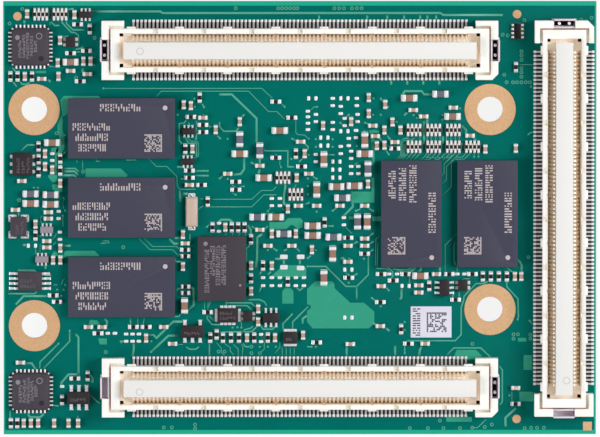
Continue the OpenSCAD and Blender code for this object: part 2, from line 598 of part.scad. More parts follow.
module circuit_board() {
  color(GREEN) difference() {
    translate([-board_w / 2, -board_d / 2, rear_z]) cube([board_w, board_d, board_t]);
    for (h = HOLES) on_face(h) translate([0, 0, -1.5 * board_t])
      cylinder(d = hole_d + 2 * barrel_t, h = 2 * board_t);
  }
}

// Barrel with a ring on both faces, turned from one outline
module plated_holes() {
  r = hole_d / 2;
  outline = [
    [r, -board_t - ring_t], [ring_d / 2, -board_t - ring_t], [ring_d / 2, -board_t], [r + barrel_t, -board_t],
    [r + barrel_t, 0], [ring_d / 2, 0], [ring_d / 2, ring_t], [r, ring_t]
  ];
  color(GOLD) for (h = HOLES) on_face(h) rotate_extrude() polygon(outline);
}

module fiducials() {
  color(GOLD) for (f = FIDUCIALS) on_face(f) cylinder(d = fiducial_d, h = land_t);
  color(GOLD) on_face(EDGE_PAD) block([edge_pad, edge_pad, land_t]);
}

module bare_lands() {
  for (kind = [["l", BARE_LAND], ["L", BIG_LAND]]) color(TIN)
    for (p = of_kind(kind[0])) on_face([p[2], p[3]]) rotate(p[1]) block([kind[1].x, kind[1].y, land_t]);
}

// Connector pieces, in the connector's own frame: length along X, board face at z 0
module at_connector(i) {
  on_face(CONNECTORS[i]) rotate(CONNECTORS[i].z) children();
}

// Plan of the ear at the end that points along side, with a chamfered corner at the first contact's end
module ear_plan(side) {
  in = conn_l / 2 - ear_l;
  out = conn_l / 2;
  cut = side > 0 ? ear_chamfer : 0;
  points = [
    [side * in, -ear_w / 2], [side * (out - cut), -ear_w / 2], if (cut > 0) [side * out, cut - ear_w / 2],
    [side * out, ear_w / 2], [side * in, ear_w / 2]
  ];
  polygon(points);
}

// Centres of the ground plates along a row
PLATE_X = [for (i = [0 : plates_per_row - 1]) (i - (plates_per_row - 1) / 2) * plate_pitch];
// Places of the outer blocks, between the plates and at the ends of the row
BLOCK_X = [for (i = [0 : plates_per_row]) (i - plates_per_row / 2) * plate_pitch];

module ears() {
  for (side = [-1, 1]) {
    linear_extrude(floor_top) ear_plan(side);
    linear_extrude(ear_h) difference() {
      ear_plan(side);
      square([conn_l - 2 * ear_rim, ear_w - 2 * ear_arm], center = true);
    }
  }
}

module body_walls() {
  translate([0, 0, floor_z]) {
    linear_extrude(wall_h - floor_z) difference() {
      square([conn_body_l, conn_body_w], center = true);
      square([cavity_l, cavity_w], center = true);
    }
    linear_extrude(floor_t) square([conn_body_l, conn_body_w], center = true);
    linear_extrude(island_h - floor_z) square([island_l, island_w], center = true);
  }
  for (x = BLOCK_X, side = [-1, 1])
    translate([x, side * (conn_body_w + block_t) / 2, wall_h - block_drop - block_h])
      block([block_l, block_t, block_h]);
}

module housing_cuts() {
  slot_l = plate_pitch - pin_pitch + contact_w + 2 * slot_side;
  for (side = [-1, 1]) {
    for (x = PLATE_X) {
      translate([x, side * riser_y, -floor_z]) block([slot_l, slot_w, floor_top + 2 * floor_z]);
      translate([x, side * (cavity_w + wall_t) / 2, wall_h - notch_d])
        block([notch_w, 2 * wall_t, 2 * notch_d]);
    }
    for (end = [-1, 1])
      translate([end * (cavity_l - corner_hole) / 2, side * (cavity_w - corner_hole) / 2, -floor_z])
        block([corner_hole, corner_hole, floor_top + 2 * floor_z]);
    translate([side * (conn_l - ear_rim) / 2, 0, -floor_z])
      block([ear_rim + 2 * hold_room, hold_w + 2 * hold_room, ear_h + 2 * floor_z]);
  }
}

module connector_housing(i) {
  color(CREAM) at_connector(i) difference() {
    union() {
      ears();
      body_walls();
    }
    housing_cuts();
  }
}

// A contact: tail on the board, riser through the floor, spring that leans on the island and turns out on top
CONTACT_PATH = [
  [tail_y, contact_t / 2],
  [riser_y, contact_t / 2],
  [riser_y, floor_top + contact_t],
  [island_w / 2 + tip_gap + contact_t / 2, wall_h - tip_drop],
  [island_w / 2 + tip_gap + contact_t / 2 + tip_turn, wall_h]
];

module connector_contacts(i) {
  color(CONTACT) at_connector(i)
    for (pin = [0 : pins_per_row - 1], side = [0, 180])
      rotate(side) translate([(pin - (pins_per_row - 1) / 2) * pin_pitch, 0, 0])
        bent_strip(CONTACT_PATH, contact_t, contact_w);
}

// A ground plate: leaf against the wall, with a tab that lies in the wall's notch
module connector_ground_plates(i) {
  leaf = [plate_pitch - 2 * plate_end_gap, plate_t, wall_h - plate_drop - floor_top];
  color(CONTACT) at_connector(i)
    for (x = PLATE_X, side = [0, 180])
      rotate(side) translate([x, 0, 0]) {
        translate([0, (cavity_w - plate_t) / 2, floor_top]) block(leaf);
        translate([0, (cavity_w + wall_t - plate_t) / 2, wall_h - notch_d])
          block([tab_w, wall_t + plate_t, plate_t]);
      }
}

// A hold-down: foot on the board under the ear's window, a plate up each side of it, flange past the ear
module connector_hold_downs(i) {
  riser = conn_l / 2 - ear_rim + hold_t / 2;
  outer = conn_l / 2 + hold_foot - hold_t / 2;
  path = [
    [outer, ear_h - hold_lip],
    [outer, hold_t / 2],
    [riser, hold_t / 2],
    [riser, ear_h - hold_drop]
  ];
  color(TIN) at_connector(i)
    for (side = [90, -90])
      rotate(side) {
        bent_strip(path, hold_t, hold_w);
        translate([0, (conn_l + hold_foot) / 2, 0]) block([hold_w + 2 * hold_flange, hold_foot, hold_t]);
      }
}

// Memory package with a round mark sunk at the first ball's corner
module memory_body() {
  color(MOULD) difference() {
    block([mem_l, mem_w, mem_t], ball_h);
    translate([mem_l / 2 - mark_in.x, mem_w / 2 - mark_in.y, ball_h + mem_t - mark_depth])
      cylinder(r = mark_r, h = 2 * mark_depth);
  }
}

module memory(i) {
  on_face(MEMORIES[i]) rotate(MEMORIES[i].z) memory_body();
}

module rear_memory(i) {
  on_rear(REAR_MEMORIES[i]) memory_body();
}

module ball(x, y) {
  translate([x, y, 0]) cylinder(d = ball_d, h = ball_h);
}

module memory_ball_grid() {
  for (row = [0 : mem_ball_rows - 1], column = MEM_BALL_COLUMNS)
    ball((row - (mem_ball_rows - 1) / 2) * mem_ball_pitch, column * mem_ball_pitch);
}

module memory_balls() {
  color(TIN) for (m = MEMORIES) on_face(m) rotate(m.z) memory_ball_grid();
  color(TIN) for (m = REAR_MEMORIES) on_rear(m) memory_ball_grid();
}

module boot_flash() {
  color(BLACK) on_face(FLASH) difference() {
    block([flash_w, flash_l, flash_t], ball_h);
    translate([mark_in.x - flash_w / 2, flash_l / 2 - mark_in.y, ball_h + flash_t - mark_depth])
      cylinder(r = mark_r, h = 2 * mark_depth);
  }
}

module storage_flash() {
  color(BLACK) on_rear(STORAGE) block(STORAGE_SIZE, ball_h);
}

module flash_balls() {
  flash_mid = (flash_balls_side - 1) / 2;
  storage_mid = (storage_balls_side - 1) / 2;
  storage_open = storage_mid - storage_ball_rows;
  color(TIN) on_face(FLASH)
    for (x = [-flash_mid : flash_mid], y = [-flash_mid : flash_mid])
      if (x + y > -2 * flash_mid) ball(x * flash_ball_pitch, y * flash_ball_pitch);
  color(TIN) on_rear(STORAGE)
    for (x = [-storage_mid : storage_mid], y = [-storage_mid : storage_mid])
      if (max(abs(x), abs(y)) > storage_open) ball(x * storage_ball_pitch, y * storage_ball_pitch);
}

// Square with cut corners
module cut_square(size, cut) {
  h = size / 2;
  polygon([
    [cut - h, -h], [h - cut, -h], [h, cut - h], [h, h - cut],
    [h - cut, h], [cut - h, h], [-h, h - cut], [-h, cut - h]
  ]);
}

// Leadless package: thin lip at the bottom, moulded top with cut corners
module network_chip(i) {
  color(BLACK) on_face(PHYS[i]) translate([0, 0, land_t]) {
    linear_extrude(phy_base_t) square(phy_size, center = true);
    linear_extrude(phy_t) cut_square(phy_size - 2 * phy_lip, phy_corner);
  }
}

module network_chip_lands() {
  land = phy_land_in + phy_land_out;
  color(TIN) for (p = PHYS) on_face(p)
    for (turn = [0 : 90 : 270], i = [0 : phy_lands - 1])
      rotate(turn)
        translate([(i - (phy_lands - 1) / 2) * phy_pitch, (phy_size + phy_land_out - phy_land_in) / 2, 0])
          block([phy_land_w, land, land_t]);
}

// Places children at each chip of a kind
module at_chips(kind) {
  for (p = of_kind(kind)) on_face([p[2], p[3]]) rotate(p[1] + own_turn(kind)) children();
}

module small_outline_chips() {
  color(BLACK) for (chip = OUTLINE_CHIPS) at_chips(chip[0])
    block([chip[1].x, chip[1].y, chip[1].z - lead_t], lead_t);
}

// Bent lead from the middle of a chip's side down to the board
module bent_lead(side, middle, reach, w) {
  path = [
    [side + reach, lead_t / 2],
    [side + reach * lead_heel, lead_t / 2],
    [side + reach * lead_knee, middle],
    [side, middle]
  ];
  bent_strip(path, lead_t, w);
}

module small_outline_leads() {
  color(TIN) for (chip = OUTLINE_CHIPS) at_chips(chip[0]) {
    for (x = chip[2]) translate([x * chip[4], 0, 0])
      bent_lead(chip[1].y / 2, chip[1].z / 2, chip[6], chip[5]);
    for (x = chip[3]) rotate(180) translate([x * chip[4], 0, 0])
      bent_lead(chip[1].y / 2, chip[1].z / 2, chip[6], chip[5]);
  }
}

module leadless_chips() {
  color(BLACK) for (chip = LEADLESS_CHIPS) at_chips(chip[0]) block(chip[1], land_t);
}

// Row of lands under one side of a leadless chip
module land_row(count, pitch, half) {
  if (count > 0)
    for (i = [0 : count - 1])
      translate([(i - (count - 1) / 2) * pitch, half + leadless_out - leadless_land.y / 2, 0])
        block([leadless_land.x, leadless_land.y, land_t]);
}

module leadless_lands() {
  color(TIN) for (chip = LEADLESS_CHIPS) at_chips(chip[0])
    for (turn = [0, 180]) {
      rotate(turn) land_row(chip[2], chip[3], chip[1].y / 2);
      rotate(turn + 90) land_row(chip[4], chip[5], chip[1].x / 2);
    }
}

module oscillators() {
  color(BLACK) at_chips("clock") block(CLOCK, land_t);
  color(BLACK) for (p = REAR_CLOCKS) on_rear(p) block(REAR_CLOCK, land_t);
}

module clock_feet(size) {
  for (x = [-1, 1], y = [-1, 1])
    translate([
      x * (size.x / 2 + clock_foot_out - clock_foot.x / 2),
      y * (size.y / 2 + clock_foot_out - clock_foot.y / 2),
      0
    ]) block([clock_foot.x, clock_foot.y, land_t]);
}

module oscillator_feet() {
  color(TIN) at_chips("clock") clock_feet(CLOCK);
  color(TIN) for (p = REAR_CLOCKS) on_rear(p) clock_feet(REAR_CLOCK);
}

module crystal_base() {
  color("#c9b8a8") at_chips("crystal") block([crystal_w, crystal_l, crystal_base_t], land_t);
}

module crystal_lid() {
  color("#dcc3b4") at_chips("crystal")
    block(
      [crystal_w - 2 * crystal_lid_in, crystal_l - 2 * crystal_lid_in, crystal_lid_t],
      land_t + crystal_base_t
    );
}

module crystal_terminals() {
  color(TIN) at_chips("crystal")
    for (side = [-1, 1])
      translate([0, side * crystal_l / 2, 0]) block([crystal_terminal.x, 2 * crystal_terminal.y, land_t]);
}

// Chip part: body between two metal ends that stand a little proud of it
module chip_body(l, w, h, end) {
  block([l - 2 * end, w - 2 * solder_t, h - 2 * solder_t], solder_t);
}

module chip_ends(l, w, h, end) {
  for (side = [-1, 1]) translate([side * (l - end) / 2, 0, 0]) block([end, w, h]);
}

module small_capacitors() {
  color("#a57d69") at_chips("c") chip_body(small_l, small_w, small_cap_h, small_end);
}

module small_capacitor_ends() {
  color(TIN) at_chips("c") chip_ends(small_l, small_w, small_cap_h, small_end);
}

module large_capacitors() {
  color("#966e5a") at_chips("C") chip_body(large_l, large_w, large_h, large_end);
  color("#966e5a") for (p = REAR_CAPS) on_rear(p) chip_body(large_l, large_w, large_h, large_end);
}

module large_capacitor_ends() {
  color(TIN) at_chips("C") chip_ends(large_l, large_w, large_h, large_end);
  color(TIN) for (p = REAR_CAPS) on_rear(p) chip_ends(large_l, large_w, large_h, large_end);
}

module resistors() {
  color(BLACK) at_chips("r") chip_body(small_l, small_w, resistor_h, small_end);
}

module resistor_ends() {
  color(TIN) at_chips("r") chip_ends(small_l, small_w, resistor_h, small_end);
}

module beads() {
  color("#646473") at_chips("B") chip_body(large_l, large_w, large_h, large_end);
}

module bead_ends() {
  color(TIN) at_chips("B") chip_ends(large_l, large_w, large_h, large_end);
}

module resistor_networks() {
  color(BLACK) at_chips("n") block([network_l, network_w, network_h - solder_t], solder_t);
}

// Ends of a network, in a row along each long side
module network_ends() {
  pitch = network_l / network_pairs;
  color(TIN) at_chips("n")
    for (side = [-1, 1], i = [0 : network_pairs - 1])
      translate([(i - (network_pairs - 1) / 2) * pitch, side * (network_w + network_end.y) / 2, 0])
        block([network_end.x, network_end.y, network_h - solder_t]);
}

module sticker() {
  color("#e4e2f0") on_face(STICKER) block([sticker_w, sticker_h, sticker_t]);
}

module processor_substrate() {
  color("#2f5d3a") on_rear(SOC) block([soc_size, soc_size, soc_substrate_t], soc_ball_h);
}

// Stamped lid: flange with cut corners, raised top that the cooler sits on
module processor_lid() {
  color("#b9bcc0") on_rear(SOC) translate([0, 0, soc_ball_h + soc_substrate_t]) {
    linear_extrude(soc_flange_t) cut_square(soc_lid_flange, soc_corner);
    linear_extrude(soc_flange_t + soc_raise) cut_square(soc_lid_top, soc_corner);
  }
}

module processor_balls() {
  middle = (soc_balls_side - 1) / 2;
  color(TIN) on_rear(SOC)
    for (x = [-middle : middle], y = [-middle : middle])
      translate([x * soc_ball_pitch, y * soc_ball_pitch, 0]) cylinder(d = soc_ball_d, h = soc_ball_h);
}

module inductors() {
  body = inductor_size - 2 * inductor_end_t;
  color("#3a3a40") for (p = INDUCTORS) on_rear(p) block([body, inductor_size, inductor_h - land_t], land_t);
}

module inductor_terminals() {
  color(TIN) for (p = INDUCTORS) on_rear(p)
    for (side = [-1, 1])
      translate([side * (inductor_size - inductor_end_t) / 2, 0, 0])
        block([inductor_end_t, inductor_end_w, inductor_h / 2]);
}

module converter_chips() {
  color(BLACK) for (p = CONVERTERS) on_rear(p) block(CONVERTER_SIZE, land_t);
}

module converter_lands() {
  color(TIN) for (p = CONVERTERS) on_rear(p)
    for (turn = [0 : 90 : 270])
      rotate(turn) land_row(converter_lands_side, converter_pitch, CONVERTER_SIZE.x / 2);
}

circuit_board();
plated_holes();
fiducials();
bare_lands();
connector_housing(0);  // connector_a_housing
connector_contacts(0);  // connector_a_contacts
connector_ground_plates(0);  // connector_a_ground_plates
connector_hold_downs(0);  // connector_a_hold_downs
connector_housing(1);  // connector_b_housing
connector_contacts(1);  // connector_b_contacts
connector_ground_plates(1);  // connector_b_ground_plates
connector_hold_downs(1);  // connector_b_hold_downs
connector_housing(2);  // connector_c_housing
connector_contacts(2);  // connector_c_contacts
connector_ground_plates(2);  // connector_c_ground_plates
connector_hold_downs(2);  // connector_c_hold_downs
memory(0);  // memory_1
memory(1);  // memory_2
memory(2);  // memory_3
memory(3);  // memory_4
memory(4);  // memory_5
memory_balls();
boot_flash();
flash_balls();
network_chip(0);  // network_chip_1
network_chip(1);  // network_chip_2
network_chip_lands();
small_outline_chips();
small_outline_leads();
leadless_chips();
leadless_lands();
oscillators();
oscillator_feet();
crystal_base();
crystal_lid();
crystal_terminals();
small_capacitors();
small_capacitor_ends();
large_capacitors();
large_capacitor_ends();
resistors();
resistor_ends();
beads();
bead_ends();
resistor_networks();
network_ends();
sticker();
processor_substrate();
processor_lid();
processor_balls();
rear_memory(0);  // rear_memory_1
rear_memory(1);  // rear_memory_2
storage_flash();
inductors();
inductor_terminals();
converter_chips();
converter_lands();
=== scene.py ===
"""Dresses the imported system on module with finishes, solder, print and copper, and sets up the studio."""

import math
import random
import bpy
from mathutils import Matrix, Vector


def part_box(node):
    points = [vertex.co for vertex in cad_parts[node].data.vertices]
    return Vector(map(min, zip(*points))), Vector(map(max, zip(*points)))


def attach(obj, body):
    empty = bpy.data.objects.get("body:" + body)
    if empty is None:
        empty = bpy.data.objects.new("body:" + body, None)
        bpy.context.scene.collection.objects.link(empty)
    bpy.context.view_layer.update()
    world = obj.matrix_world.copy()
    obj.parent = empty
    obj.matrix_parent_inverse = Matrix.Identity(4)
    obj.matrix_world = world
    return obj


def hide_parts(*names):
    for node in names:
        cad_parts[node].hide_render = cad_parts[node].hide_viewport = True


bl_info = {
    "name": "System on module",
    "version": (1, 0, 0),
    "blender": (4, 5, 0),
    "location": "3D View > Sidebar > Module",
    "description": "Finishes, solder, print and copper of a system on module",
    "category": "Object",
}

import bmesh
import bpy
from bpy.props import FloatProperty, FloatVectorProperty, PointerProperty
from mathutils import Matrix, Vector

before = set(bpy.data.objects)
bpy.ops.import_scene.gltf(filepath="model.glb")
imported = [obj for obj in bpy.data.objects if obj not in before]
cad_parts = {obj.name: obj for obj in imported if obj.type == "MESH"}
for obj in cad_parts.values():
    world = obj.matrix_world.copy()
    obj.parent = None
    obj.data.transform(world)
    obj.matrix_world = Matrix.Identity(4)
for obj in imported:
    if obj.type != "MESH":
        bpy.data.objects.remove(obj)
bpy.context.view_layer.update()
MM = 0.001
UP = Vector((0, 0, 1))
EAST = Vector((1, 0, 0))
WEST = Vector((-1, 0, 0))
NORTH = Vector((0, 1, 0))
SOUTH = Vector((0, -1, 0))
CONNECTORS = ("a", "b", "c")
# Triangles of a CAD mesh whose corners lie this near are joined
MERGE = 0.002 * MM
# Height of print, and of the dark strips under the connectors, which are partly bare laminate and partly
# painted shade
PRINT_T = 0.006 * MM
STRIP_T = 0.01 * MM


def corners(node):
    """Lowest and highest corner of a CAD node."""
    low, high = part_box(node)
    return Vector(low), Vector(high)


def at(x, y):
    """Point in plan, from millimetres off the board's middle."""
    return Vector((x * MM, y * MM, 0))


def lengthways(low, high):
    """Directions in plan along the longer side of a box and across it."""
    return (EAST, NORTH) if high.x - low.x > high.y - low.y else (NORTH, EAST)


LOW, HIGH = corners("circuit_board")
FACE = HIGH.z
REAR = LOW.z


def tint(red, green, blue):
    """Linear colour of screen values from 0 to 255."""
    return tuple(
        v / 12.92 if v <= 0.04045 else ((v + 0.055) / 1.055) ** 2.4
        for v in (red / 255, green / 255, blue / 255)
    )


def size(name, about, default):
    """A length in metres that a user may change, from millimetres."""
    return FloatProperty(
        name=name, description=about, default=default * MM, min=0, unit="LENGTH", precision=6
    )


def colour(name, about, default):
    """A colour that a user may change, from screen values."""
    return FloatVectorProperty(
        name=name, description=about, default=tint(*default), min=0, max=1, size=3, subtype="COLOR"
    )


class BoardLook(bpy.types.PropertyGroup):
    """Looks of the board and its copper."""

    mask: colour("Mask", "Green mask over the inner planes", (0, 98, 91))
    mask_pale: colour("Pale mask", "Mottling of the mask", (0, 114, 104))
    rim: colour("Rim", "Mask along the edges, with no plane under it", (36, 170, 140))
    copper: colour("Masked tracks", "Tracks that show through the mask", (84, 166, 142))
    pour: colour("Masked pours", "Wide copper that shows through the mask", (48, 156, 128))
    laminate: colour("Laminate", "Cut edge of the board", (122, 128, 74))
    # Partly a real opening in the mask between the contacts' tails, partly painted shade that darkens it to
    # near black; the same dark is painted shade in the hold-downs' slots and under the housings' ends
    bare: colour("Bare laminate", "Open strip between the contacts' tails", (30, 24, 24))
    gold: colour("Gold", "Gold plate of rings and aiming pads", (232, 188, 142))
    tin: colour("Tin", "Solder and bare lands", (250, 250, 252))
    copper_t: size("Copper height", "Height of masked copper over the board", 0.02)
    fine_w: size("Fine track", "Width of a fine track", 0.09)
    middle_w: size("Middle track", "Width of a middle track", 0.16)
    wide_w: size("Wide track", "Width of a wide track", 0.25)
    via_d: size("Via", "Diameter of a via's ring", 0.46)
    dot_d: size("Dot", "Diameter of a filled via", 0.26)
    round_by: size("Board edge", "Rounding of the board's edges", 0.06)


class ConnectorLook(bpy.types.PropertyGroup):
    """Looks of the connectors."""

    plastic: colour("Plastic", "Housing", (255, 253, 248))
    island: colour("Island", "Top of the island in the middle", (238, 237, 234))
    # Painted shade: the warm tint low in the cavities stands for shade and light thrown back from the gold
    deep: colour("Deep plastic", "Housing deep in its channels", (255, 246, 236))
    # Painted shade between the contacts
    gap: colour("Gap", "Floor of the channels between the contacts", (255, 230, 196))
    # Painted shade in the grooves of the ears
    groove: colour("Groove", "Groove between an end wall and its ear", (236, 190, 170))
    # Painted shade: tan sheet that shows through the slots in place of the shaded depth under them
    under: colour("Under", "What shows through the slots of the floor", (255, 224, 184))
    spring: colour("Spring", "Gold plate of the contacts' springs", (255, 248, 242))
    tail: colour("Tail", "Tin plate of the contacts' tails", (204, 199, 200))
    plate: colour("Plate", "Ground plates", (255, 246, 232))
    sheet: colour("Sheet", "Hold-downs", (228, 220, 228))
    mould_mark: colour("Mould mark", "Round marks on the islands", (208, 204, 200))
    round_by: size("Housing edge", "Rounding of the housing's edges", 0.05)
    bend: size("Bend", "Rounding of the contacts' bends", 0.06)


class PackageLook(bpy.types.PropertyGroup):
    """Looks of the packages."""

    memory: colour("Memory", "Memory mould", (62, 61, 80))
    flash: colour("Flash", "Flash mould", (60, 53, 62))
    network: colour("Network chip", "Network chip mould", (64, 58, 68))
    small: colour("Small chip", "Mould of small chips", (38, 29, 34))
    lilac: colour("Lilac chip", "Mould of the paler small chips", (150, 140, 152))
    mark: colour("Mark", "Print on memories", (196, 184, 184))
    faint: colour("Faint mark", "Print on the other packages", (140, 131, 138))
    dim: colour("Dim mark", "Print on the small chips", (98, 90, 96))
    paper: colour("Sticker", "Paper of the sticker", (222, 220, 234))
    ink: colour("Ink", "Print on the sticker", (74, 64, 74))
    lid: colour("Processor lid", "Nickel plate of the lid", (178, 180, 184))
    substrate: colour("Substrate", "Processor substrate", (40, 92, 58))
    ferrite: colour("Ferrite", "Inductor core", (66, 66, 72))
    round_by: size("Package edge", "Rounding of a package's edges", 0.06)


class PartLook(bpy.types.PropertyGroup):
    """Looks of the chip parts."""

    capacitor: colour("Capacitor", "Small capacitors", (182, 152, 134))
    large: colour("Large capacitor", "Large capacitors", (152, 116, 98))
    resistor: colour("Resistor", "Glaze of the resistors", (20, 18, 20))
    alumina: colour("Alumina", "Sides of the resistors", (214, 206, 196))
    bead: colour("Bead", "Ferrite beads", (104, 102, 118))
    crystal: colour("Crystal lid", "Lid of the crystal", (222, 197, 182))
    ceramic: colour("Crystal base", "Base of the crystal", (200, 184, 168))
    round_by: size("Part edge", "Rounding of a chip part's edges", 0.05)


class StageLook(bpy.types.PropertyGroup):
    """Studio around the module."""

    floor: colour("Floor", "Pale floor", (250, 250, 250))
    height: size("Camera height", "Camera over the board", 1200)
    off_x: FloatProperty(
        name="Camera right", description="Camera to the right of the middle", default=-7 * MM, unit="LENGTH"
    )
    off_y: size("Camera up", "Camera towards the top connector", 60)
    pixels_per_mm: FloatProperty(
        name="Scale", description="Picture points for each millimetre of board", default=8.01, min=1
    )


class Wire:
    """A socket of a finish. Sums on it add Math nodes."""

    def __init__(self, finish, socket):
        self.finish = finish
        self.socket = socket

    def sum(self, operation, first, second):
        """Result of one Math node."""
        return self.finish.node("ShaderNodeMath", {"operation": operation}, {0: first, 1: second})

    def __add__(self, other):
        return self.sum("ADD", self, other)

    def __sub__(self, other):
        return self.sum("SUBTRACT", self, other)

    def __rsub__(self, other):
        return self.sum("SUBTRACT", other, self)

    def __mul__(self, other):
        return self.sum("MULTIPLY", self, other)

    def __abs__(self):
        return self.sum("ABSOLUTE", self, 0)

    __radd__ = __add__
    __rmul__ = __mul__

    def most(self, other):
        """The greater of two values."""
        return self.sum("MAXIMUM", self, other)

    def ramp(self, start, end):
        """Smooth step from 0 at start to 1 at end."""
        settings = {"interpolation_type": "SMOOTHSTEP"}
        return self.finish.node("ShaderNodeMapRange", settings, {0: self, 1: start, 2: end, 3: 0, 4: 1})


class Finish:
    """A node material under construction."""

    def __init__(self, name, rough=0.5, metal=0.0, shine=0.5):
        self.material = bpy.data.materials.new(name)
        self.material.use_nodes = True
        self.tree = self.material.node_tree
        self.tree.nodes.clear()
        self.shader = self.tree.nodes.new("ShaderNodeBsdfPrincipled")
        end = self.tree.nodes.new("ShaderNodeOutputMaterial")
        self.tree.links.new(self.shader.outputs[0], end.inputs["Surface"])
        self.set("Roughness", rough)
        self.set("Metallic", metal)
        self.set("Specular IOR Level", shine)

    def node(self, kind, settings, inputs, output=0):
        """Adds a node with its settings and the values or wires of its sockets."""
        made = self.tree.nodes.new(kind)
        for key, value in settings.items():
            setattr(made, key, value)
        for key, value in inputs.items():
            self.feed(made.inputs[key], value)
        return Wire(self, made.outputs[output])

    def feed(self, socket, value):
        """Links a wire to a socket, or gives it a value."""
        if isinstance(value, Wire):
            self.tree.links.new(value.socket, socket)
        elif socket.type == "RGBA":
            socket.default_value = (*value[:3], 1)
        else:
            socket.default_value = value

    def set(self, name, value):
        """Feeds a socket of the surface."""
        self.feed(self.shader.inputs[name], value)

    def place(self):
        """Object coordinates as x, y and z."""
        whole = self.node("ShaderNodeTexCoord", {}, {}, "Object")
        return [self.node("ShaderNodeSeparateXYZ", {}, {0: whole}, i) for i in range(3)]

    def noise(self, grain, detail=2.0):
        """Noise from 0 to 1 whose grain is a length in metres."""
        whole = self.node("ShaderNodeTexCoord", {}, {}, "Object")
        return self.node("ShaderNodeTexNoise", {}, {"Vector": whole, "Scale": 1 / grain, "Detail": detail})

    def mix(self, share, first, second):
        """Colour between two colours."""
        return self.node("ShaderNodeMix", {"data_type": "RGBA"}, {0: share, 6: first, 7: second}, 2)

    def bump(self, height, depth, strength=0.5):
        """Relief of the surface."""
        inputs = {"Strength": strength, "Distance": depth, "Height": height}
        self.set("Normal", self.node("ShaderNodeBump", {}, inputs))


def grained(name, base, grain, change=0.12, rough=0.55, metal=0.0, shine=0.4, depth=0.004 * MM):
    """Finish of one colour with a fine grain in its tone, gloss and surface."""
    finish = Finish(name, rough, metal, shine)
    fine = finish.noise(grain)
    coarse = finish.noise(grain * 9, 3)
    dark = tuple(c * (1 - change) for c in base)
    pale = tuple(min(1, c * (1 + change)) for c in base)
    finish.set("Base Color", finish.mix(fine * 0.5 + coarse * 0.5, dark, pale))
    finish.set("Roughness", fine * 0.16 + (rough - 0.08))
    finish.bump(fine, depth)
    return finish.material


def mask_finish(look):
    """Solder mask: mottled over the planes, brighter along the edges where no plane lies under it."""
    finish = Finish("solder_mask", 0.46, 0, 0.03)
    x, y, _ = finish.place()
    start, end = -0.08 * MM, 0.06 * MM
    rim = (x - (HIGH.x - 0.2 * MM)).ramp(start, end)
    for past in (y - (HIGH.y - 0.52 * MM), LOW.x + 0.16 * MM - x, LOW.y + 0.52 * MM - y):
        rim = rim.most(past.ramp(start, end))
    cloud = finish.noise(4 * MM, 3)
    weave = finish.noise(0.35 * MM)
    tone = finish.mix(cloud * 0.7 + weave * 0.3, tuple(look.mask), tuple(look.mask_pale))
    finish.set("Base Color", finish.mix(rim, tone, tuple(look.rim)))
    finish.set("Roughness", weave * 0.12 + 0.42)
    finish.bump(weave, 0.004 * MM, 0.4)
    return finish.material


def gold_finish(name, base, rough=0.45, metal=0.3):
    """Dull gold plate with darker specks."""
    finish = Finish(name, rough, metal, 0.5)
    speck = finish.noise(0.22 * MM, 4).ramp(0.35, 0.75)
    cloud = finish.noise(1.6 * MM, 2)
    dull = (base[0] * 0.84, base[1] * 0.78, base[2] * 0.68)
    pale = (min(1, base[0] * 1.06), base[1] * 1.06, base[2] * 1.12)
    finish.set("Base Color", finish.mix(speck * 0.6 + cloud * 0.4, pale, dull))
    finish.set("Roughness", speck * 0.15 + (rough - 0.08))
    finish.bump(speck, 0.006 * MM, 0.4)
    return finish.material


def solder_finish(base):
    """Bright solder, a little uneven."""
    finish = Finish("solder", 0.32, 0.2, 0.6)
    wave = finish.noise(0.3 * MM, 2)
    dull = tuple(c * 0.9 for c in base)
    finish.set("Base Color", finish.mix(wave, dull, tuple(base)))
    finish.set("Roughness", wave * 0.2 + 0.22)
    finish.bump(wave, 0.02 * MM, 0.35)
    return finish.material


def plastic_finish(look, node):
    """Inside of a housing, with painted shade: tan where it lies deep, brown between the contacts and in the
    grooves of the ears.
    """
    finish = Finish(node + "plastic", 0.5, 0, 0.4)
    x, y, z = finish.place()
    low, high = corners(node + "contacts")
    half = (high - low) / 2
    middle = low + half
    off_x = abs(x - middle.x)
    off_y = abs(y - middle.y)
    along, across, row = (off_x, off_y, half.x) if half.x > half.y else (off_y, off_x, half.y)
    # Painted shade: a band between the contacts, towards the walls of the channels
    between = across.ramp(1.2 * MM, 1.7 * MM) * along.ramp(row + 0.02 * MM, row - 0.02 * MM)
    grain = finish.noise(0.12 * MM)
    deep = finish.mix(between, tuple(look.deep), tuple(look.gap))
    # Painted shade in the grooves of the ears, past the ends of the cavity
    deep = finish.mix(along.ramp(row + 2.6 * MM, row + 2.7 * MM), deep, tuple(look.groove))
    pale = finish.mix(grain, tuple(c * 0.97 for c in look.plastic), tuple(look.plastic))
    pale = finish.mix((z - FACE).ramp(3 * MM, 3.5 * MM), pale, tuple(look.island))
    # Painted shade: the deep colours take over low down, below about 2 mm over the board
    finish.set("Base Color", finish.mix((z - FACE).ramp(0.95 * MM, 2.2 * MM), deep, pale))
    finish.set("Roughness", grain * 0.15 + 0.42)
    finish.bump(grain, 0.003 * MM)
    return finish.material


def outer_plastic_finish(look):
    """Housing plastic on the outside and on top."""
    finish = Finish("connector_plastic_outside", 0.5, 0, 0.4)
    grain = finish.noise(0.12 * MM)
    cloud = finish.noise(5 * MM)
    pale = tuple(look.plastic)
    finish.set("Base Color", finish.mix(grain * 0.5 + cloud * 0.5, tuple(c * 0.96 for c in pale), pale))
    finish.set("Roughness", grain * 0.15 + 0.42)
    finish.bump(grain, 0.003 * MM)
    return finish.material


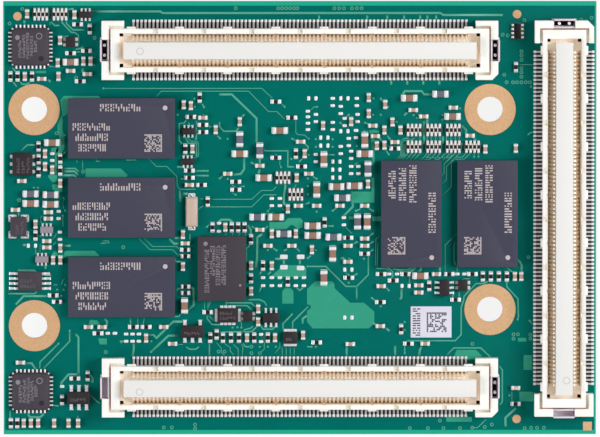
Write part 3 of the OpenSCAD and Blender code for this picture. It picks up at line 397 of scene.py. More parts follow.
def floor_finish(look):
    """Pale floor that looks near white to the camera and keeps a little of the module's shadow."""
    finish = Finish("floor", 0.8, 0, 0.1)
    grain = finish.noise(4 * MM)
    base = tuple(look.floor)
    finish.set("Base Color", finish.mix(grain, tuple(c * 0.98 for c in base), base))
    seen = finish.node("ShaderNodeLightPath", {}, {}, "Is Camera Ray")
    for ray in ("Is Glossy Ray", "Is Transmission Ray"):
        seen = seen.most(finish.node("ShaderNodeLightPath", {}, {}, ray))
    glow = finish.node("ShaderNodeEmission", {}, {"Color": (1, 1, 1), "Strength": 1})
    end = finish.tree.nodes["Material Output"]
    pale = Wire(finish, finish.shader.outputs[0])
    mixed = finish.node("ShaderNodeMixShader", {}, {0: seen * 0.88, 1: pale, 2: glow})
    finish.feed(end.inputs["Surface"], mixed)
    return finish.material


def lid_finish(base):
    """Nickel plate with fine straight brushing."""
    finish = Finish("processor_lid", 0.36, 0.85, 0.5)
    whole = finish.node("ShaderNodeTexCoord", {}, {}, "Object")
    along = finish.node("ShaderNodeMapping", {}, {"Vector": whole, "Scale": (300, 14000, 300)})
    brush = finish.node("ShaderNodeTexNoise", {}, {"Vector": along, "Scale": 1, "Detail": 2})
    finish.set("Base Color", finish.mix(brush, tuple(c * 0.88 for c in base), tuple(base)))
    finish.set("Roughness", brush * 0.16 + 0.28)
    finish.bump(brush, 0.003 * MM, 0.4)
    return finish.material


def merged(node):
    """Copy of a CAD node's mesh with its loose triangles joined."""
    shape = bmesh.new()
    shape.from_mesh(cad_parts[node].data)
    bmesh.ops.remove_doubles(shape, verts=shape.verts, dist=MERGE)
    return shape


def corner_boxes(node):
    """Lowest and highest corner of each separate solid of a CAD node."""
    shape = merged(node)
    seen = set()
    boxes = []
    for start in shape.verts:
        if start in seen:
            continue
        seen.add(start)
        todo = [start]
        low, high = start.co.copy(), start.co.copy()
        while todo:
            vert = todo.pop()
            low = Vector(map(min, low, vert.co))
            high = Vector(map(max, high, vert.co))
            for edge in vert.link_edges:
                other = edge.other_vert(vert)
                if other not in seen:
                    seen.add(other)
                    todo.append(other)
        boxes.append((low, high))
    shape.free()
    return boxes


def bevel(shape, edges, by, segments):
    """Rounds some edges of a shape."""
    bmesh.ops.bevel(
        shape, geom=edges, offset=by, offset_type="OFFSET", segments=segments, profile=0.5,
        affect="EDGES", clamp_overlap=True, material=-1,
    )


def rounded(node, by, segments=2, least=35):
    """Copy of a CAD node with flat faces made whole and its sharp edges rounded."""
    shape = merged(node)
    bmesh.ops.dissolve_limit(shape, angle_limit=math.radians(1), verts=shape.verts, edges=shape.edges)
    sharp = [e for e in shape.edges if e.is_manifold and e.calc_face_angle() > math.radians(least)]
    bevel(shape, sharp, by, segments)
    return shape


def box_shape(low, high, by=0.0, segments=2):
    """Box between two corners with rounded edges."""
    shape = bmesh.new()
    low, high = Vector(low), Vector(high)
    move = Matrix.Translation((low + high) / 2) @ Matrix.Diagonal((*(high - low), 1))
    bmesh.ops.create_cube(shape, size=1, matrix=move)
    if by:
        bevel(shape, shape.edges[:], by, segments)
    return shape


def template(shape):
    """Mesh of a shape that is stamped many times."""
    mesh = bpy.data.meshes.new("template")
    shape.to_mesh(mesh)
    shape.free()
    return mesh


def stamp(shape, mesh, move):
    """Adds a copy of a template to a shape."""
    before = len(shape.verts)
    shape.from_mesh(mesh)
    shape.verts.ensure_lookup_table()
    bmesh.ops.transform(shape, matrix=move, verts=shape.verts[before:])


def keep(name, shape, finishes, slot, *nodes, crease=28):
    """Makes the finished piece of a shape, which rides on the module and stands for its CAD nodes."""
    for edge in shape.edges:
        edge.smooth = edge.is_manifold and edge.calc_face_angle() < math.radians(crease)
    for face in shape.faces:
        face.smooth = True
    mesh = bpy.data.meshes.new(name)
    shape.to_mesh(mesh)
    shape.free()
    for finish in finishes:
        mesh.materials.append(finish)
    piece = bpy.data.objects.new(name, mesh)
    bpy.context.scene.collection.objects.link(piece)
    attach(piece, "root")
    if nodes:
        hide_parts(*nodes)
    return piece


def finish_node(node, finish):
    """Gives a CAD node that stays as it is its finish."""
    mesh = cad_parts[node].data
    mesh.materials.clear()
    mesh.materials.append(finish)


def shared(name, make, *args):
    """A finish that several pieces share."""
    return bpy.data.materials.get(name) or make(*args)


def solder():
    """The finish of all solder."""
    return shared("solder", solder_finish, bpy.context.scene.module_board.tin)


def turned(way, face_up=True):
    """Turn that takes +X to a direction in plan, and the top downwards on the processor side."""
    turn = Matrix.Rotation(math.atan2(way.y, way.x), 4, "Z")
    return turn if face_up else turn @ Matrix.Rotation(math.pi, 4, "X")


def out_of(box, boxes):
    """Direction in plan in which a box stands out of the nearest of some boxes."""
    middle = (box[0] + box[1]) / 2
    low, high = min(boxes, key=lambda b: ((b[0] + b[1]) / 2 - middle).length_squared)
    past = [
        (low.x - middle.x, WEST), (middle.x - high.x, EAST),
        (low.y - middle.y, SOUTH), (middle.y - high.y, NORTH),
    ]
    return max(past, key=lambda p: p[0])[1]


def fillet(long, wide, high):
    """Solder that runs from a metal end down to the board: it starts at x 0 and thins out along +X."""
    shape = box_shape((0, -wide / 2, 0), (long, wide / 2, high))
    outer = [v for v in shape.verts if v.co.x > long / 2 and v.co.z > high / 2]
    for vert in outer:
        vert.co.z = 0.08 * high
    slope = [
        e for e in shape.edges
        if abs(e.verts[0].co.x - e.verts[1].co.x) > long / 2 and max(v.co.z for v in e.verts) > high / 2
    ]
    cut = bmesh.ops.subdivide_edges(shape, edges=slope, cuts=2, use_grid_fill=True)
    for vert in (v for v in cut["geom_inner"] if isinstance(v, bmesh.types.BMVert)):
        vert.co.z = high * (1 - vert.co.x / long) ** 2 + 0.08 * high
    return shape


def joined(*shapes):
    """One shape of several."""
    whole = bmesh.new()
    for shape in shapes:
        mesh = template(shape)
        whole.from_mesh(mesh)
        bpy.data.meshes.remove(mesh)
    return whole


def metal_end(long, wide, high, run, by):
    """End of a chip part with its solder, out along +X, on the board at z 0."""
    cap = box_shape((-long / 2, -wide / 2, 0), (long / 2, wide / 2, high), by)
    flow = fillet(run, wide * 0.96, high * 0.6)
    bmesh.ops.translate(flow, vec=(long / 2 - 0.01 * MM, 0, 0), verts=flow.verts)
    return joined(cap, flow)


def ends_of(node, body_node, run, by):
    """Metal ends with solder in place of a CAD node's, pointing out of the bodies they belong to."""
    bodies = corner_boxes(body_node)
    shape = bmesh.new()
    made = {}
    for low, high in corner_boxes(node):
        way = out_of((low, high), bodies)
        extent = high - low
        long, wide = (extent.x, extent.y) if way.x else (extent.y, extent.x)
        key = tuple(round(v / MM, 2) for v in (long, wide, extent.z))
        if key not in made:
            made[key] = template(metal_end(long, wide, extent.z, run, by))
        up = low.z > REAR
        foot = Vector(((low.x + high.x) / 2, (low.y + high.y) / 2, low.z if up else high.z))
        stamp(shape, made[key], Matrix.Translation(foot) @ turned(way, up))
    return shape


def paint_sides(shape, side=1):
    """Faces that don't look up or down take the second finish."""
    for face in shape.faces:
        face.normal_update()
        if abs(face.normal.z) < 0.5:
            face.material_index = side


def pillows(node, rise, by, grow=0.0):
    """Lands of a CAD node with a skin of solder that swells in the middle, grown past them or drawn in."""
    shape = bmesh.new()
    made = {}
    for low, high in corner_boxes(node):
        extent = high - low + Vector((grow, grow, 0)) * 2
        key = tuple(round(v / MM, 2) for v in extent)
        if key not in made:
            land = box_shape(-extent / 2, extent / 2)
            upright = [e for e in land.edges if abs(e.verts[0].co.z - e.verts[1].co.z) > extent.z / 2]
            bevel(land, upright, by, 3)
            land.faces.ensure_lookup_table()
            top = max(land.faces, key=lambda f: f.calc_center_median().z)
            bmesh.ops.inset_region(land, faces=[top], thickness=min(extent.x, extent.y) * 0.22, depth=rise)
            made[key] = template(land)
        up = low.z > REAR
        move = Matrix.Translation((low + high) / 2) @ turned(EAST, up)
        stamp(shape, made[key], move)
    return shape


def dash(shape, low, high, z, thick=PRINT_T):
    """Flat dash of print between two corners of a surface at z."""
    rise = thick if z > REAR else -thick
    bottom, top = min(z, z + rise), max(z, z + rise)
    bmesh.ops.create_cube(
        shape, size=1,
        matrix=Matrix.Translation(((low.x + high.x) / 2, (low.y + high.y) / 2, (bottom + top) / 2))
        @ Matrix.Diagonal((abs(high.x - low.x), abs(high.y - low.y), top - bottom, 1)),
    )


# Bars of one column of print, each from one share of its height to another
BARS = [((0, 1),), ((0, 0.42), (0.58, 1)), ((0, 0.62),), ((0.38, 1),), ((0, 0.2), (0.4, 0.6), (0.8, 1))]


def dashed_line(shape, start, along, up, count, pitch, tall, z, seed):
    """Line of print as plain dashes: each place has two columns of upright bars, which are no letters."""
    draw = random.Random(seed)
    stroke = pitch * 0.25
    for i in range(count):
        for column in (0, 0.46):
            foot = start + along * ((i + column) * pitch)
            for low, high in draw.choice(BARS):
                dash(shape, foot + up * (low * tall), foot + along * stroke + up * (high * tall), z)


def code_patch(shape, corner, along, up, side, cells, z, seed):
    """Square patch of random dots."""
    draw = random.Random(seed)
    cell = side / cells
    for i in range(cells):
        for j in range(cells):
            if i == 0 or j == 0 or draw.random() < 0.48:
                low = corner + along * (i * cell) + up * (j * cell)
                dash(shape, low, low + (along + up) * (cell * 0.86), z)


def disc(shape, middle, r, z, thick=PRINT_T):
    """Thin round mark on a surface at z."""
    bmesh.ops.create_cone(
        shape, cap_ends=True, segments=24, radius1=r, radius2=r, depth=thick,
        matrix=Matrix.Translation((middle.x, middle.y, z + (thick if z > REAR else -thick) / 2)),
    )


def ring(shape, middle, r, wide, z, thick=PRINT_T):
    """Thin round line on a surface at z."""
    rise = thick if z > REAR else -thick
    move = Matrix.Translation((middle.x, middle.y, z + rise))
    edges = set()
    for radius in (r, r - wide):
        made = bmesh.ops.create_circle(shape, segments=24, radius=radius, matrix=move)
        edges.update(edge for vert in made["verts"] for edge in vert.link_edges)
    for face in bmesh.ops.bridge_loops(shape, edges=list(edges))["faces"]:
        face.normal_update()
        if face.normal.z * rise < 0:
            face.normal_flip()


def paint_near(shape, places, reach, finish=1):
    """Faces near some places in plan take another finish."""
    for face in shape.faces:
        middle = face.calc_center_median()
        if any((middle - at(*place)).xy.length < reach for place in places):
            face.material_index = finish


# Masked tracks on the connector face, in millimetres off the board's middle
WIDE_TRACKS = [
    [(-26, 25.8), (-17.4, 25.8), (-17.1, 25.6), (17.5, 25.6), (17.9, 25.35), (25.3, 25.35)],
    [(-10.05, 15.45), (-8.5, 15.45), (-5.4, 12.45), (-5.4, 9.5)],
    [(-34.35, 24.7), (-34.35, 24.3)],
    [(-29.6, 22.65), (-28.9, 22.65)],
    [(-29, 26.1), (-28.2, 26.1)],
    [(-27.1, 18.7), (-27.1, 18.1)],
    [(-31.4, 17.3), (-31.1, 17)],
    [(-29.5, 5.85), (-28.1, 5.85), (-27.7, 5.4)],
    [(-29.5, 5.35), (-28.2, 5.35), (-27.9, 5.1)],
    [(-34.6, -3.35), (-34.2, -3.35)],
    [(-29.5, -3.45), (-28.6, -3.45)],
    [(-31.75, -5.9), (-31.75, -6.4)],
    [(-35.2, -6.55), (-33.2, -6.55), (-32.7, -6.95)],
    [(-31.4, -9.75), (-34.5, -9.75), (-35.2, -10.5), (-35.5, -10.8)],
    [(-28, -14.5), (-27.65, -14.9), (-27.65, -20.3)],
    [(-27.65, -19.55), (-28.9, -19.55), (-29.8, -20.6), (-29.8, -20.9)],
    [(-34.3, -18.1), (-33.5, -18.15), (-33, -18.9)],
    [(-26.5, -19.4), (-26.1, -19.7), (-25.9, -20.1), (-25.9, -20.6)],
    [(-34, -24.5), (-33.7, -24.9), (-32.4, -24.9), (-32, -24.5)],
    [(-15, 3.4), (-14.9, 2)],
    [(-14.8, 3.05), (-14, 3.05)],
    [(-16.3, -2.6), (-15.7, -3.2), (-15.1, -3.2)],
    [(-15.6, -2.5), (-15, -2.5)],
    [(-13.6, -8.6), (-13.3, -8.8), (-13.25, -10.9), (-13.95, -11.5)],
    [(-14.6, -12.95), (-15.8, -12.95), (-17.9, -15), (-18.3, -14.6), (-18.9, -14.6)],
    [(-14.9, -14.7), (-16.4, -14.7), (-18.6, -16.75)],
    [(-20.75, -15.7), (-20.75, -16.4), (-20.9, -17.3)],
    [(-24.4, -12.6), (-24.1, -12.9), (-24.1, -13.5)],
    [(-6.95, 7.5), (-6.95, 6.1), (-7.4, 5.5), (-8.3, 5.45)],
    [(-5, 7.5), (-5, 6.8), (-4.7, 6.5)],
    [(-5, 6.1), (-5.2, 5.4)],
    [(-1.8, 4.2), (-1.85, 3.6), (-2, 2.6), (-2, 1.8), (-1.6, 1.5)],
    [(-10.2, -0.5), (-9.8, -0.2), (-8.8, -0.2), (-8.4, -0.5)],
    [(-6.1, -2), (-6.1, -1.5), (-6.5, -0.9)],
    [(-4.7, -2), (-5.3, -2.4), (-5.35, -5), (-5.5, -6.2)],
    [(-3.1, -5.1), (-2.4, -5.1)],
    [(-2, -5.2), (-2, -5.8)],
    [(0, -5.2), (0, -5.8)],
    [(5.4, 0.2), (6.6, 1.4), (6.6, 1.9)],
    [(5.05, -5), (5.4, -5), (5.7, -5.3)],
    [(0.35, -13.2), (0.35, -12.6), (0.9, -12.2)],
    [(5.85, -16.1), (5.85, -17.2)],
    [(11.9, -16), (11.9, -17.2)],
    [(12.7, -8.9), (12.7, -9.9), (12.5, -10.2)],
    [(9, -13), (9.5, -13.4)],
    [(10.8, -13.8), (11.1, -14.05)],
    [(12.7, 15.3), (13.1, 15.85), (15.2, 15.85), (15.5, 15.45), (16.6, 15.45)],
    [(13.4, 13.2), (13.1, 12.9)],
    [(15.5, 12.1), (15.5, 9.2)],
    [(15.9, 12.4), (15.9, 11.7)],
    [(17.85, 10.2), (17.85, 9.3)],
    [(20.2, 11.6), (20.75, 11), (20.75, 10.4)],
    [(17.5, -6.1), (17.5, -6.8)],
    [(15.2, -6.1), (15.1, -6.5), (14.7, -6.9)],
    [(15.2, -16.1), (15, -16.5), (14.9, -17.2)],
    [(27.1, -5.1), (27.5, -5.5), (27.7, -5.9), (27.7, -6.7)],
    [(27, -23.8), (25.7, -25), (25.7, -25.8), (25.75, -26.1)],
    *([(x, 25.3), (x, 24.8)] for x in (2.4, 8.4, 10.9, 13, 15, 15.9, 17)),
    *([(x, 17.2), (x, 16.65)] for x in (11.4, 13.4, 15.4, 17.4)),
]
MIDDLE_TRACKS = [
    [(-31, 24.5), (-30.6, 24.05), (-30, 24.05)],
    [(-29.65, 24.6), (-29.65, 24.4), (-28.5, 23.2), (-28.05, 23.15), (-27.6, 22.8), (-27.6, 21.6)],
    [(-29.1, 24.6), (-29.1, 24.3), (-28.3, 23.5), (-26.9, 23.5)],
    [(-28, 21.05), (-27.3, 21.2), (-27, 21.4)],
    [(-28.2, 20.5), (-27.9, 20.75), (-27.3, 20.75)],
    [(-35.85, 18.8), (-35.4, 18.2)],
    [(-34.85, 17), (-34.7, 16.75), (-34.1, 16.7), (-33.7, 16.9)],
    [(-35.75, 17), (-35.3, 16.4)],
    [(-34.8, 8.4), (-34, 9.15), (-32.8, 9.15)],
    [(-29.6, 7.9), (-29.1, 8.4)],
    [(-29.5, 6.2), (-28, 6.2), (-27.6, 5.8)],
    [(-36.4, -9.45), (-33.1, -9.45), (-32.8, -9.1)],
    [(-28.75, -14.1), (-28.75, -15.4), (-32, -18.8)],
    [(-30.15, -15.7), (-32.45, -18), (-32.5, -18.8)],
    [(-26.2, -22.1), (-25.5, -22.8), (-25, -23.2)],
    [(-36.2, -24.1), (-36.2, -25)],
    [(-31.2, -23.4), (-30.1, -23.5)],
    [(-31.3, 18.95), (-30.4, 18.9)],
    [(-35.1, 0.7), (-35.1, 0.1)],
    [(-14.2, 12.2), (-14.4, 11.9), (-15.05, 11.8), (-15.05, 9.7), (-14.7, 9.25)],
    [(-13.9, 11.95), (-13.65, 11.4)],
    [(-12.9, 12.2), (-12.9, 10.2), (-13, 9.9)],
    [(-14.4, 10.2), (-13.9, 9.35), (-12.9, 9.35), (-12.9, 7.6), (-13.3, 7.4)],
    [(-15.2, 6.4), (-14.5, 6.4)],
    [(-15, 4.9), (-14.5, 4.9)],
    [(-13.2, 5.9), (-11.5, 5.9)],
    [(-13.2, 5.3), (-11.5, 5.3)],
    [(-13.75, -2), (-13.7, -2.9)],
    [(-15.7, -5), (-15.4, -5.45), (-14.9, -5.45)],
    [(-15.5, -9.2), (-15.2, -8.8), (-14.8, -8.8)],
    [(-15.7, -12.3), (-15.1, -12.3), (-14.9, -12)],
    [(-21.15, -12.4), (-21.15, -13.6)],
    [(-14.2, -16.1), (-13.8, -16.4), (-13, -16.4), (-12.6, -16.1)],
    [(-22.5, -15.4), (-22, -15.4)],
    [(-12.2, 14.3), (-11.95, 13.85)],
    [(-11.6, 11.7), (-11.2, 11.4), (-10.9, 11.4)],
    [(-10, 12), (-10, 11.4), (-9.5, 10.85), (-8, 10.85), (-7.6, 11.3)],
    [(-7.3, 12.6), (-7, 12.85)],
    [(-10.3, 10.3), (-9.95, 9.95)],
    [(-0.9, 9.9), (-0.4, 9.55)],
    [(-12.1, 13), (-11.6, 12.5)],
    [(-10, 4.95), (-9.6, 5.3)],
    [(-6, 6.9), (-5.5, 6.6)],
    [(-4.5, 8.6), (-4.35, 8.4), (-1.5, 8.4), (-1.5, 6.4), (-0.7, 6.4)],
    [(-11.2, -0.7), (-11.6, -1.1)],
    [(-6, -1), (-5.6, -1.4)],
    [(-4.4, -1.4), (-4, -1)],
    [(-3.3, -3.8), (-2.9, -4.05)],
    [(-1.6, -3.9), (-2, -4.1)],
    [(-0.4, -3.8), (0, -4.2)],
    [(-4.8, -6.7), (-5.05, -7.1)],
    [(-3.6, -6.7), (-4, -7.1)],
    [(-4.8, -8.6), (-5.05, -9.2)],
    [(-0.4, -8.7), (0, -9.05), (0.4, -8.7)],
    [(-6.5, -10.2), (-5, -10.2), (-4.4, -10.5), (-4.15, -11)],
    [(-9.2, -10.3), (-9.2, -11.2)],
    [(-9.1, -10.6), (-6.1, -10.6), (-5.7, -11), (-5.3, -11.2)],
    [(-8.8, -11.2), (-8.7, -10.95), (-6.6, -10.95), (-6, -11.5)],
    [(-11.6, -12.2), (-11.55, -12.6), (-11, -13.3), (-9.9, -13.35)],
    [(-10, -14.25), (-6, -14.2), (-5.2, -13.4)],
    [(-5.8, -13.5), (-6.2, -13.8), (-6.9, -13.95), (-7.6, -14.8)],
    [(-4.9, -13.4), (-4.6, -13.9), (-3.4, -13.9), (-3, -13.5)],
    [(-11.3, -15.7), (-11.3, -17.2)],
    [(-7.1, -15.7), (-6.8, -16.1), (-6.3, -16.1)],
    [(-2.1, -14), (-2.1, -13.2), (-1, -12.1)],
    [(-0.9, -14), (-0.9, -13), (1.05, -11.05)],
    [(0.6, 9.3), (1.05, 8.9), (1, 8.6), (0.6, 8.5)],
    [(3.5, 7.9), (4.2, 7.9)],
    [(10.1, 14.9), (10.4, 14.5)],
    [(10.9, 10.3), (11.2, 9.9)],
    [(9.9, 10.1), (10.2, 9.6)],
    [(10.8, 8.4), (11.1, 7.95)],
    [(8.2, 11.9), (8.6, 11.7)],
    [(1.6, 5.2), (2.1, 4.9)],
    [(0.3, 7.4), (-0.1, 7)],
    [(0.6, 1.7), (1.1, 1.9)],
    [(4.1, 0.9), (4.6, 1.3)],
    [(7.1, 0.9), (7.6, 1.2)],
    [(9.1, 0.9), (8.6, 1.2)],
    [(3.4, -1), (4.1, -1)],
    [(8.6, -2.3), (9.1, -1.95)],
    [(8.6, -3.3), (9.1, -3)],
    [(8.6, -4.3), (9.1, -4)],
    [(6.6, -3.3), (7.1, -3)],
    [(1.4, -4.7), (1, -5)],
    [(1.8, -3.9), (2.1, -4.1)],
    [(6, -5), (6.4, -5.2)],
    [(0.9, -6.05), (3.25, -6.05), (5.75, -8.55), (7.1, -8.55), (8.55, -7.1), (8.55, -4.7)],
    [(7.1, -8.55), (7.1, -10.15)],
    [(6.6, -7.3), (7.1, -7)],
    [(11, -6.2), (11.6, -6.7), (11.6, -7.3), (11.3, -7.6)],
    [(10.8, -8.7), (11.1, -9.05)],
    [(9, -10), (9.5, -10.4)],
    [(0.9, -16.1), (1.6, -16.1)],
    [(21.7, 10), (22.1, 9.6)],
    [(14.5, -6.2), (13.7, -6.9), (13.7, -8.2)],
    [(19.9, -9.2), (19.9, -10)],
    [(19.1, -9.5), (19.1, -10.1)],
    [(23.5, -7.9), (23, -8.2), (22, -8.2), (20.5, -9.8), (20.45, -10.3), (20.15, -11.2), (20.15, -14.6),
     (19.4, -15.35), (13.5, -15.35), (13.2, -15.6)],
    [(13.1, -16), (13.1, -16.9)],
    [(18.4, -17.1), (19.25, -16.25), (22.6, -16.25), (23.8, -17.4)],
    [(24.9, -18.5), (25.3, -19), (25.3, -23), (25, -23.4)],
    [(28.55, 10.5), (28.85, 10.7), (29.2, 10.7)],
    [(25.9, -6.2), (26.2, -6.5), (26.6, -6.8)],
    [(25.85, -7.9), (25.85, -8.6), (27.25, -10.1), (27.3, -12.4), (27.2, -12.7)],
]
FINE_TRACKS = [
    [(-24.5, 16.2), (-4.75, 16.2), (-3.4, 14.95)],
    [(-18, 15), (-17.3, 15.85), (-6.4, 15.85), (-3.9, 13.3), (-2.85, 13.3), (-1.9, 12.35)],
    [(-31.15, 24.5), (-31.15, 24.1)],
    [(-27.1, 7.3), (-27.1, 6)],
    [(-27.8, 7.3), (-27.8, 6.9)],
    [(-25.4, 7.4), (-25.4, 7.1), (-24.9, 7.1)],
    [(-32.2, 0.3), (-32.35, 0), (-32.35, -0.4), (-32, -0.9)],
    [(-32.6, -2.3), (-32.2, -2.2)],
    [(-30.9, -2.7), (-30.5, -2.2), (-30.4, -1.9)],
    [(-30.9, -3.5), (-30.5, -3)],
    [(-32.4, -3.2), (-32.45, -4.2)],
    [(-33, -3.7), (-32.95, -4.6)],
    [(-29.6, 0.2), (-29.55, -1.1)],
    [(-29.6, 2.6), (-29.4, 2.4), (-29.6, 1.9), (-29.5, 1.2)],
    [(-30.8, -8.35), (-30.2, -8.35)],
    [(-29.8, -8.3), (-29.6, -7.8), (-29.3, -7.5)],
    [(-27.75, -24.7), (-27.75, -25.1)],
    [(-25.9, 20.1), (-25.5, 20.1)],
    [(-26, 19.1), (-25.5, 19.1)],
    [(-14.1, 10.1), (-13.6, 9.6), (-12.9, 9.6), (-12.65, 9.35), (-12.65, 7.8), (-13, 7.4)],
    [(-21.7, 7.25), (-20.4, 7.25)],
    [(-18.8, 7.35), (-17.9, 6.45), (-16.6, 6.45), (-15.35, 5.2), (-15.3, 4), (-15, 3.6), (-13, 3.6)],
    [(-12.6, 2.4), (-12, 2.4)],
    [(-12.9, 0.7), (-12.5, 1.25), (-12, 1.55)],
    [(-20.1, -2.55), (-18.7, -3.95), (-15.9, -3.95), (-15, -4.85)],
    [(-19.4, -2.55), (-18.4, -3.55), (-15.4, -3.55), (-14.95, -4)],
    [(-24.6, -2.85), (-23.9, -2.85), (-23.85, -3.1), (-24.9, -3.15)],
    [(-20.25, -12.4), (-20.25, -13.5)],
    [(-19.4, -12.4), (-19.6, -13.4)],
    [(-15.3, -15.8), (-14.6, -15.8)],
    [(-2.3, 14.3), (-1.9, 13.9)],
    [(-0.5, 12.2), (-0.5, 10.7), (-0.3, 10.45), (0.6, 10.35), (1.1, 9.9)],
    [(-3.2, 7.7), (-2.85, 8)],
    [(-2.5, 7.2), (-2.5, 6.7), (-2.35, 6.35)],
    [(-11.1, 2.35), (-6, 2.35), (-4.8, 3.45), (-3.4, 3.45), (-2.9, 3.95)],
    [(-11.2, 1.4), (-6, 1.4), (-4.5, 2.9), (-2.9, 2.9)],
    [(-8.5, 4.1), (-8, 3.85)],
    [(-7.5, 3.95), (-7, 3.95)],
    [(-8.4, 3.1), (-8, 2.9)],
    [(-0.45, 4.2), (-0.75, 3.7)],
    [(-4, 0.85), (-3.7, 1.2)],
    [(-2.2, 1.2), (-1.9, 0.9)],
    [(-6.2, -3.4), (-6.65, -3.8), (-6.65, -6.5)],
    [(-2.4, -8.3), (-2.1, -8)],
    [(-11.9, -10.3), (-11.9, -11.6)],
    [(-11.45, -10.3), (-11.5, -11.5)],
    [(-11.1, -10.3), (-11.4, -11.1)],
    [(-11.4, -12.2), (-10.7, -12.85)],
    [(-7.3, -12), (-7.3, -13.7)],
    [(-10.4, -15.6), (-9.8, -16.3), (-9.8, -16.8), (-9.4, -17.2)],
    [(-9.4, -15.7), (-8.7, -16.2), (-8.7, -16.6), (-8.3, -17.1)],
    [(-8.3, -15.8), (-7.7, -16.4), (-7.7, -17.2)],
    [(-7.3, -15.8), (-7.1, -16.2), (-7.2, -17.2)],
    [(-4.45, -14.6), (-4.45, -16.4), (-4.9, -16.8)],
    [(-2.5, -15.5), (-2.5, -16.2), (-3.1, -16.9)],
    [(1.4, 13.5), (1.7, 13.85), (2.1, 13.9)],
    [(5.8, 12.6), (6.05, 12.9)],
    [(5.4, 11.6), (5.05, 11.9)],
    [(6.7, 6.5), (7.2, 6.95)],
    [(5.7, -1.1), (6.5, -1.95)],
    [(5.7, -6.8), (6, -7.1)],
    [(10.05, -2.1), (9.5, -2.6), (9.45, -6)],
    [(9.75, -3.1), (9.65, -6.1)],
    [(9.5, -6.3), (10.8, -6.35), (11.4, -6.9)],
    [(11.6, -6.4), (13.4, -6.5), (14, -6.1)],
    [(12, -6.6), (13.5, -6.7), (14.4, -6.1)],
    [(13.6, 10), (12.9, 9.9), (12.6, 9.6), (12.6, 7.9), (11.9, 7.2)],
    [(14.3, 10), (13.9, 9.75), (13, 9.7), (12.75, 9.4), (12.75, 7.8), (12.2, 7.2)],
    [(12.95, 9.2), (12.95, 7.9), (12.4, 7.3)],
    [(13.1, 9.2), (13.1, 7.9), (12.6, 7.3)],
    [(13.5, 8.1), (12.8, 7.3)],
    [(14, 8.1), (13.2, 7.2)],
    [(14.5, 8.1), (13.7, 7.2)],
    [(15, 8.1), (14.2, 7.2)],
    [(15.9, 8.1), (15.5, 7.6), (14.9, 7.2)],
    [(16.4, 8.1), (15.8, 7.55), (18.7, 7.55), (19, 7.9)],
    [(16.95, 8.1), (16.2, 7.3), (15.2, 7.3)],
    [(17.5, 8.1), (16.9, 7.3), (17.3, 7.3), (18.2, 8.1)],
    [(18.8, 8.1), (17.7, 7.1)],
    [(19.4, 8.1), (18, 6.75), (18, 5.6), (17.6, 5.2)],
    [(19.95, 8.1), (18.3, 6.45), (18.3, 4.8), (17.6, 4.1)],
    [(20.7, 8.1), (20.3, 7.6), (19.5, 7.6), (18.9, 6.9), (18.9, 3.9), (17.6, 2.6)],
    [(21.3, 8.1), (20.5, 7.35), (19.2, 7.35)],
    [(21.75, 8.1), (21.75, 7.7)],
    [(22.3, 8.1), (22.3, 7.7)],
    [(19.45, -2.1), (18.15, -3.4), (18.15, -6.9)],
    [(19.35, -3), (19.25, -3.5), (19.25, -5.4), (19.5, -5.9)],
    [(19.65, -6.1), (19.65, -6.8)],
    [(20.2, -7.9), (20.5, -7.6), (21.2, -7.6)],
    [(21.6, -26.25), (22.2, -26.25), (23.3, -25.2)],
    [(27.4, 19.15), (29.2, 19.15)],
    [(26.5, -21.7), (26.5, -23)],
    [(27.5, -21.7), (27.5, -23)],
    [(28.7, -12.9), (29.05, -13.3)],
    *([(x, -1.9), (x, -2.3)] for x in (-9.25, -8.4, -7.6, -6.8)),
    *([(x, -16.2), (x, -17.2)] for x in (-2.2, -1.7, -1.2, -0.7)),
    *([(x, 10.15), (x, 9.55)] for x in (15, 15.9, 16.4, 16.95, 17.5, 18.3, 18.85, 19.4, 19.9)),
]
VIAS = [
    (-34.6, 26.1), (-36.2, 24.3), (-27.9, 17.55), (-25.6, 22.5), (-30.35, 10.6), (-27.05, 5.8),
    (-35.05, 2.25), (-22.05, -3.65), (-24.25, -16.75), (-17, -26.2), (-16, -26.2), (-13.1, -25.85),
    (-13.1, -26.35), (-8, 26.2), (-2.7, 26.2), (-2.2, 26.2), (-1.7, 26.2), (-1.2, 26.2), (-0.7, 26.2),
    (-0.3, 26.2), (4.3, 26.2), (4.9, 26.2), (5.5, 26.2), (6.5, 26.2), (7.1, 26.2), (7.7, 26.2),
    (-10.15, -16.7), (-9.4, -16.7), (-6.05, -16.1), (-6.05, -16.9), (-5, -16.9), (21.55, -15.75),
    (13.75, -26.3), (16, -26.3), (17.95, -26.3), (20, -26.3), (21.55, -26.25), (23.1, -26.15),
    (24, -25.85), (17.5, -25.35), (28, 24.7), (35.1, 24.75), (36.4, 25), (25.3, 22.9), (25.95, 22.8),
    (27.65, 20.8), (27.65, 20.3), (27.65, 19.75), (27.65, 18.7), (27.65, 18.2), (27.65, 17.65),
    (25.8, 16.95), (26.6, 16.95), (27.1, 16.95), (27.65, 16.95), (28.2, 16.95), (28.7, 16.95),
    (25.5, 17.9), (28.55, -4.9), (26.7, -14.55), (27.25, -14.55), (26.7, -15.1), (28.8, -14.6),
    (28.8, -15.1), (28.1, -26.3), (28.9, -26.25), (29.65, -26.25), (30.5, -26.25),
]
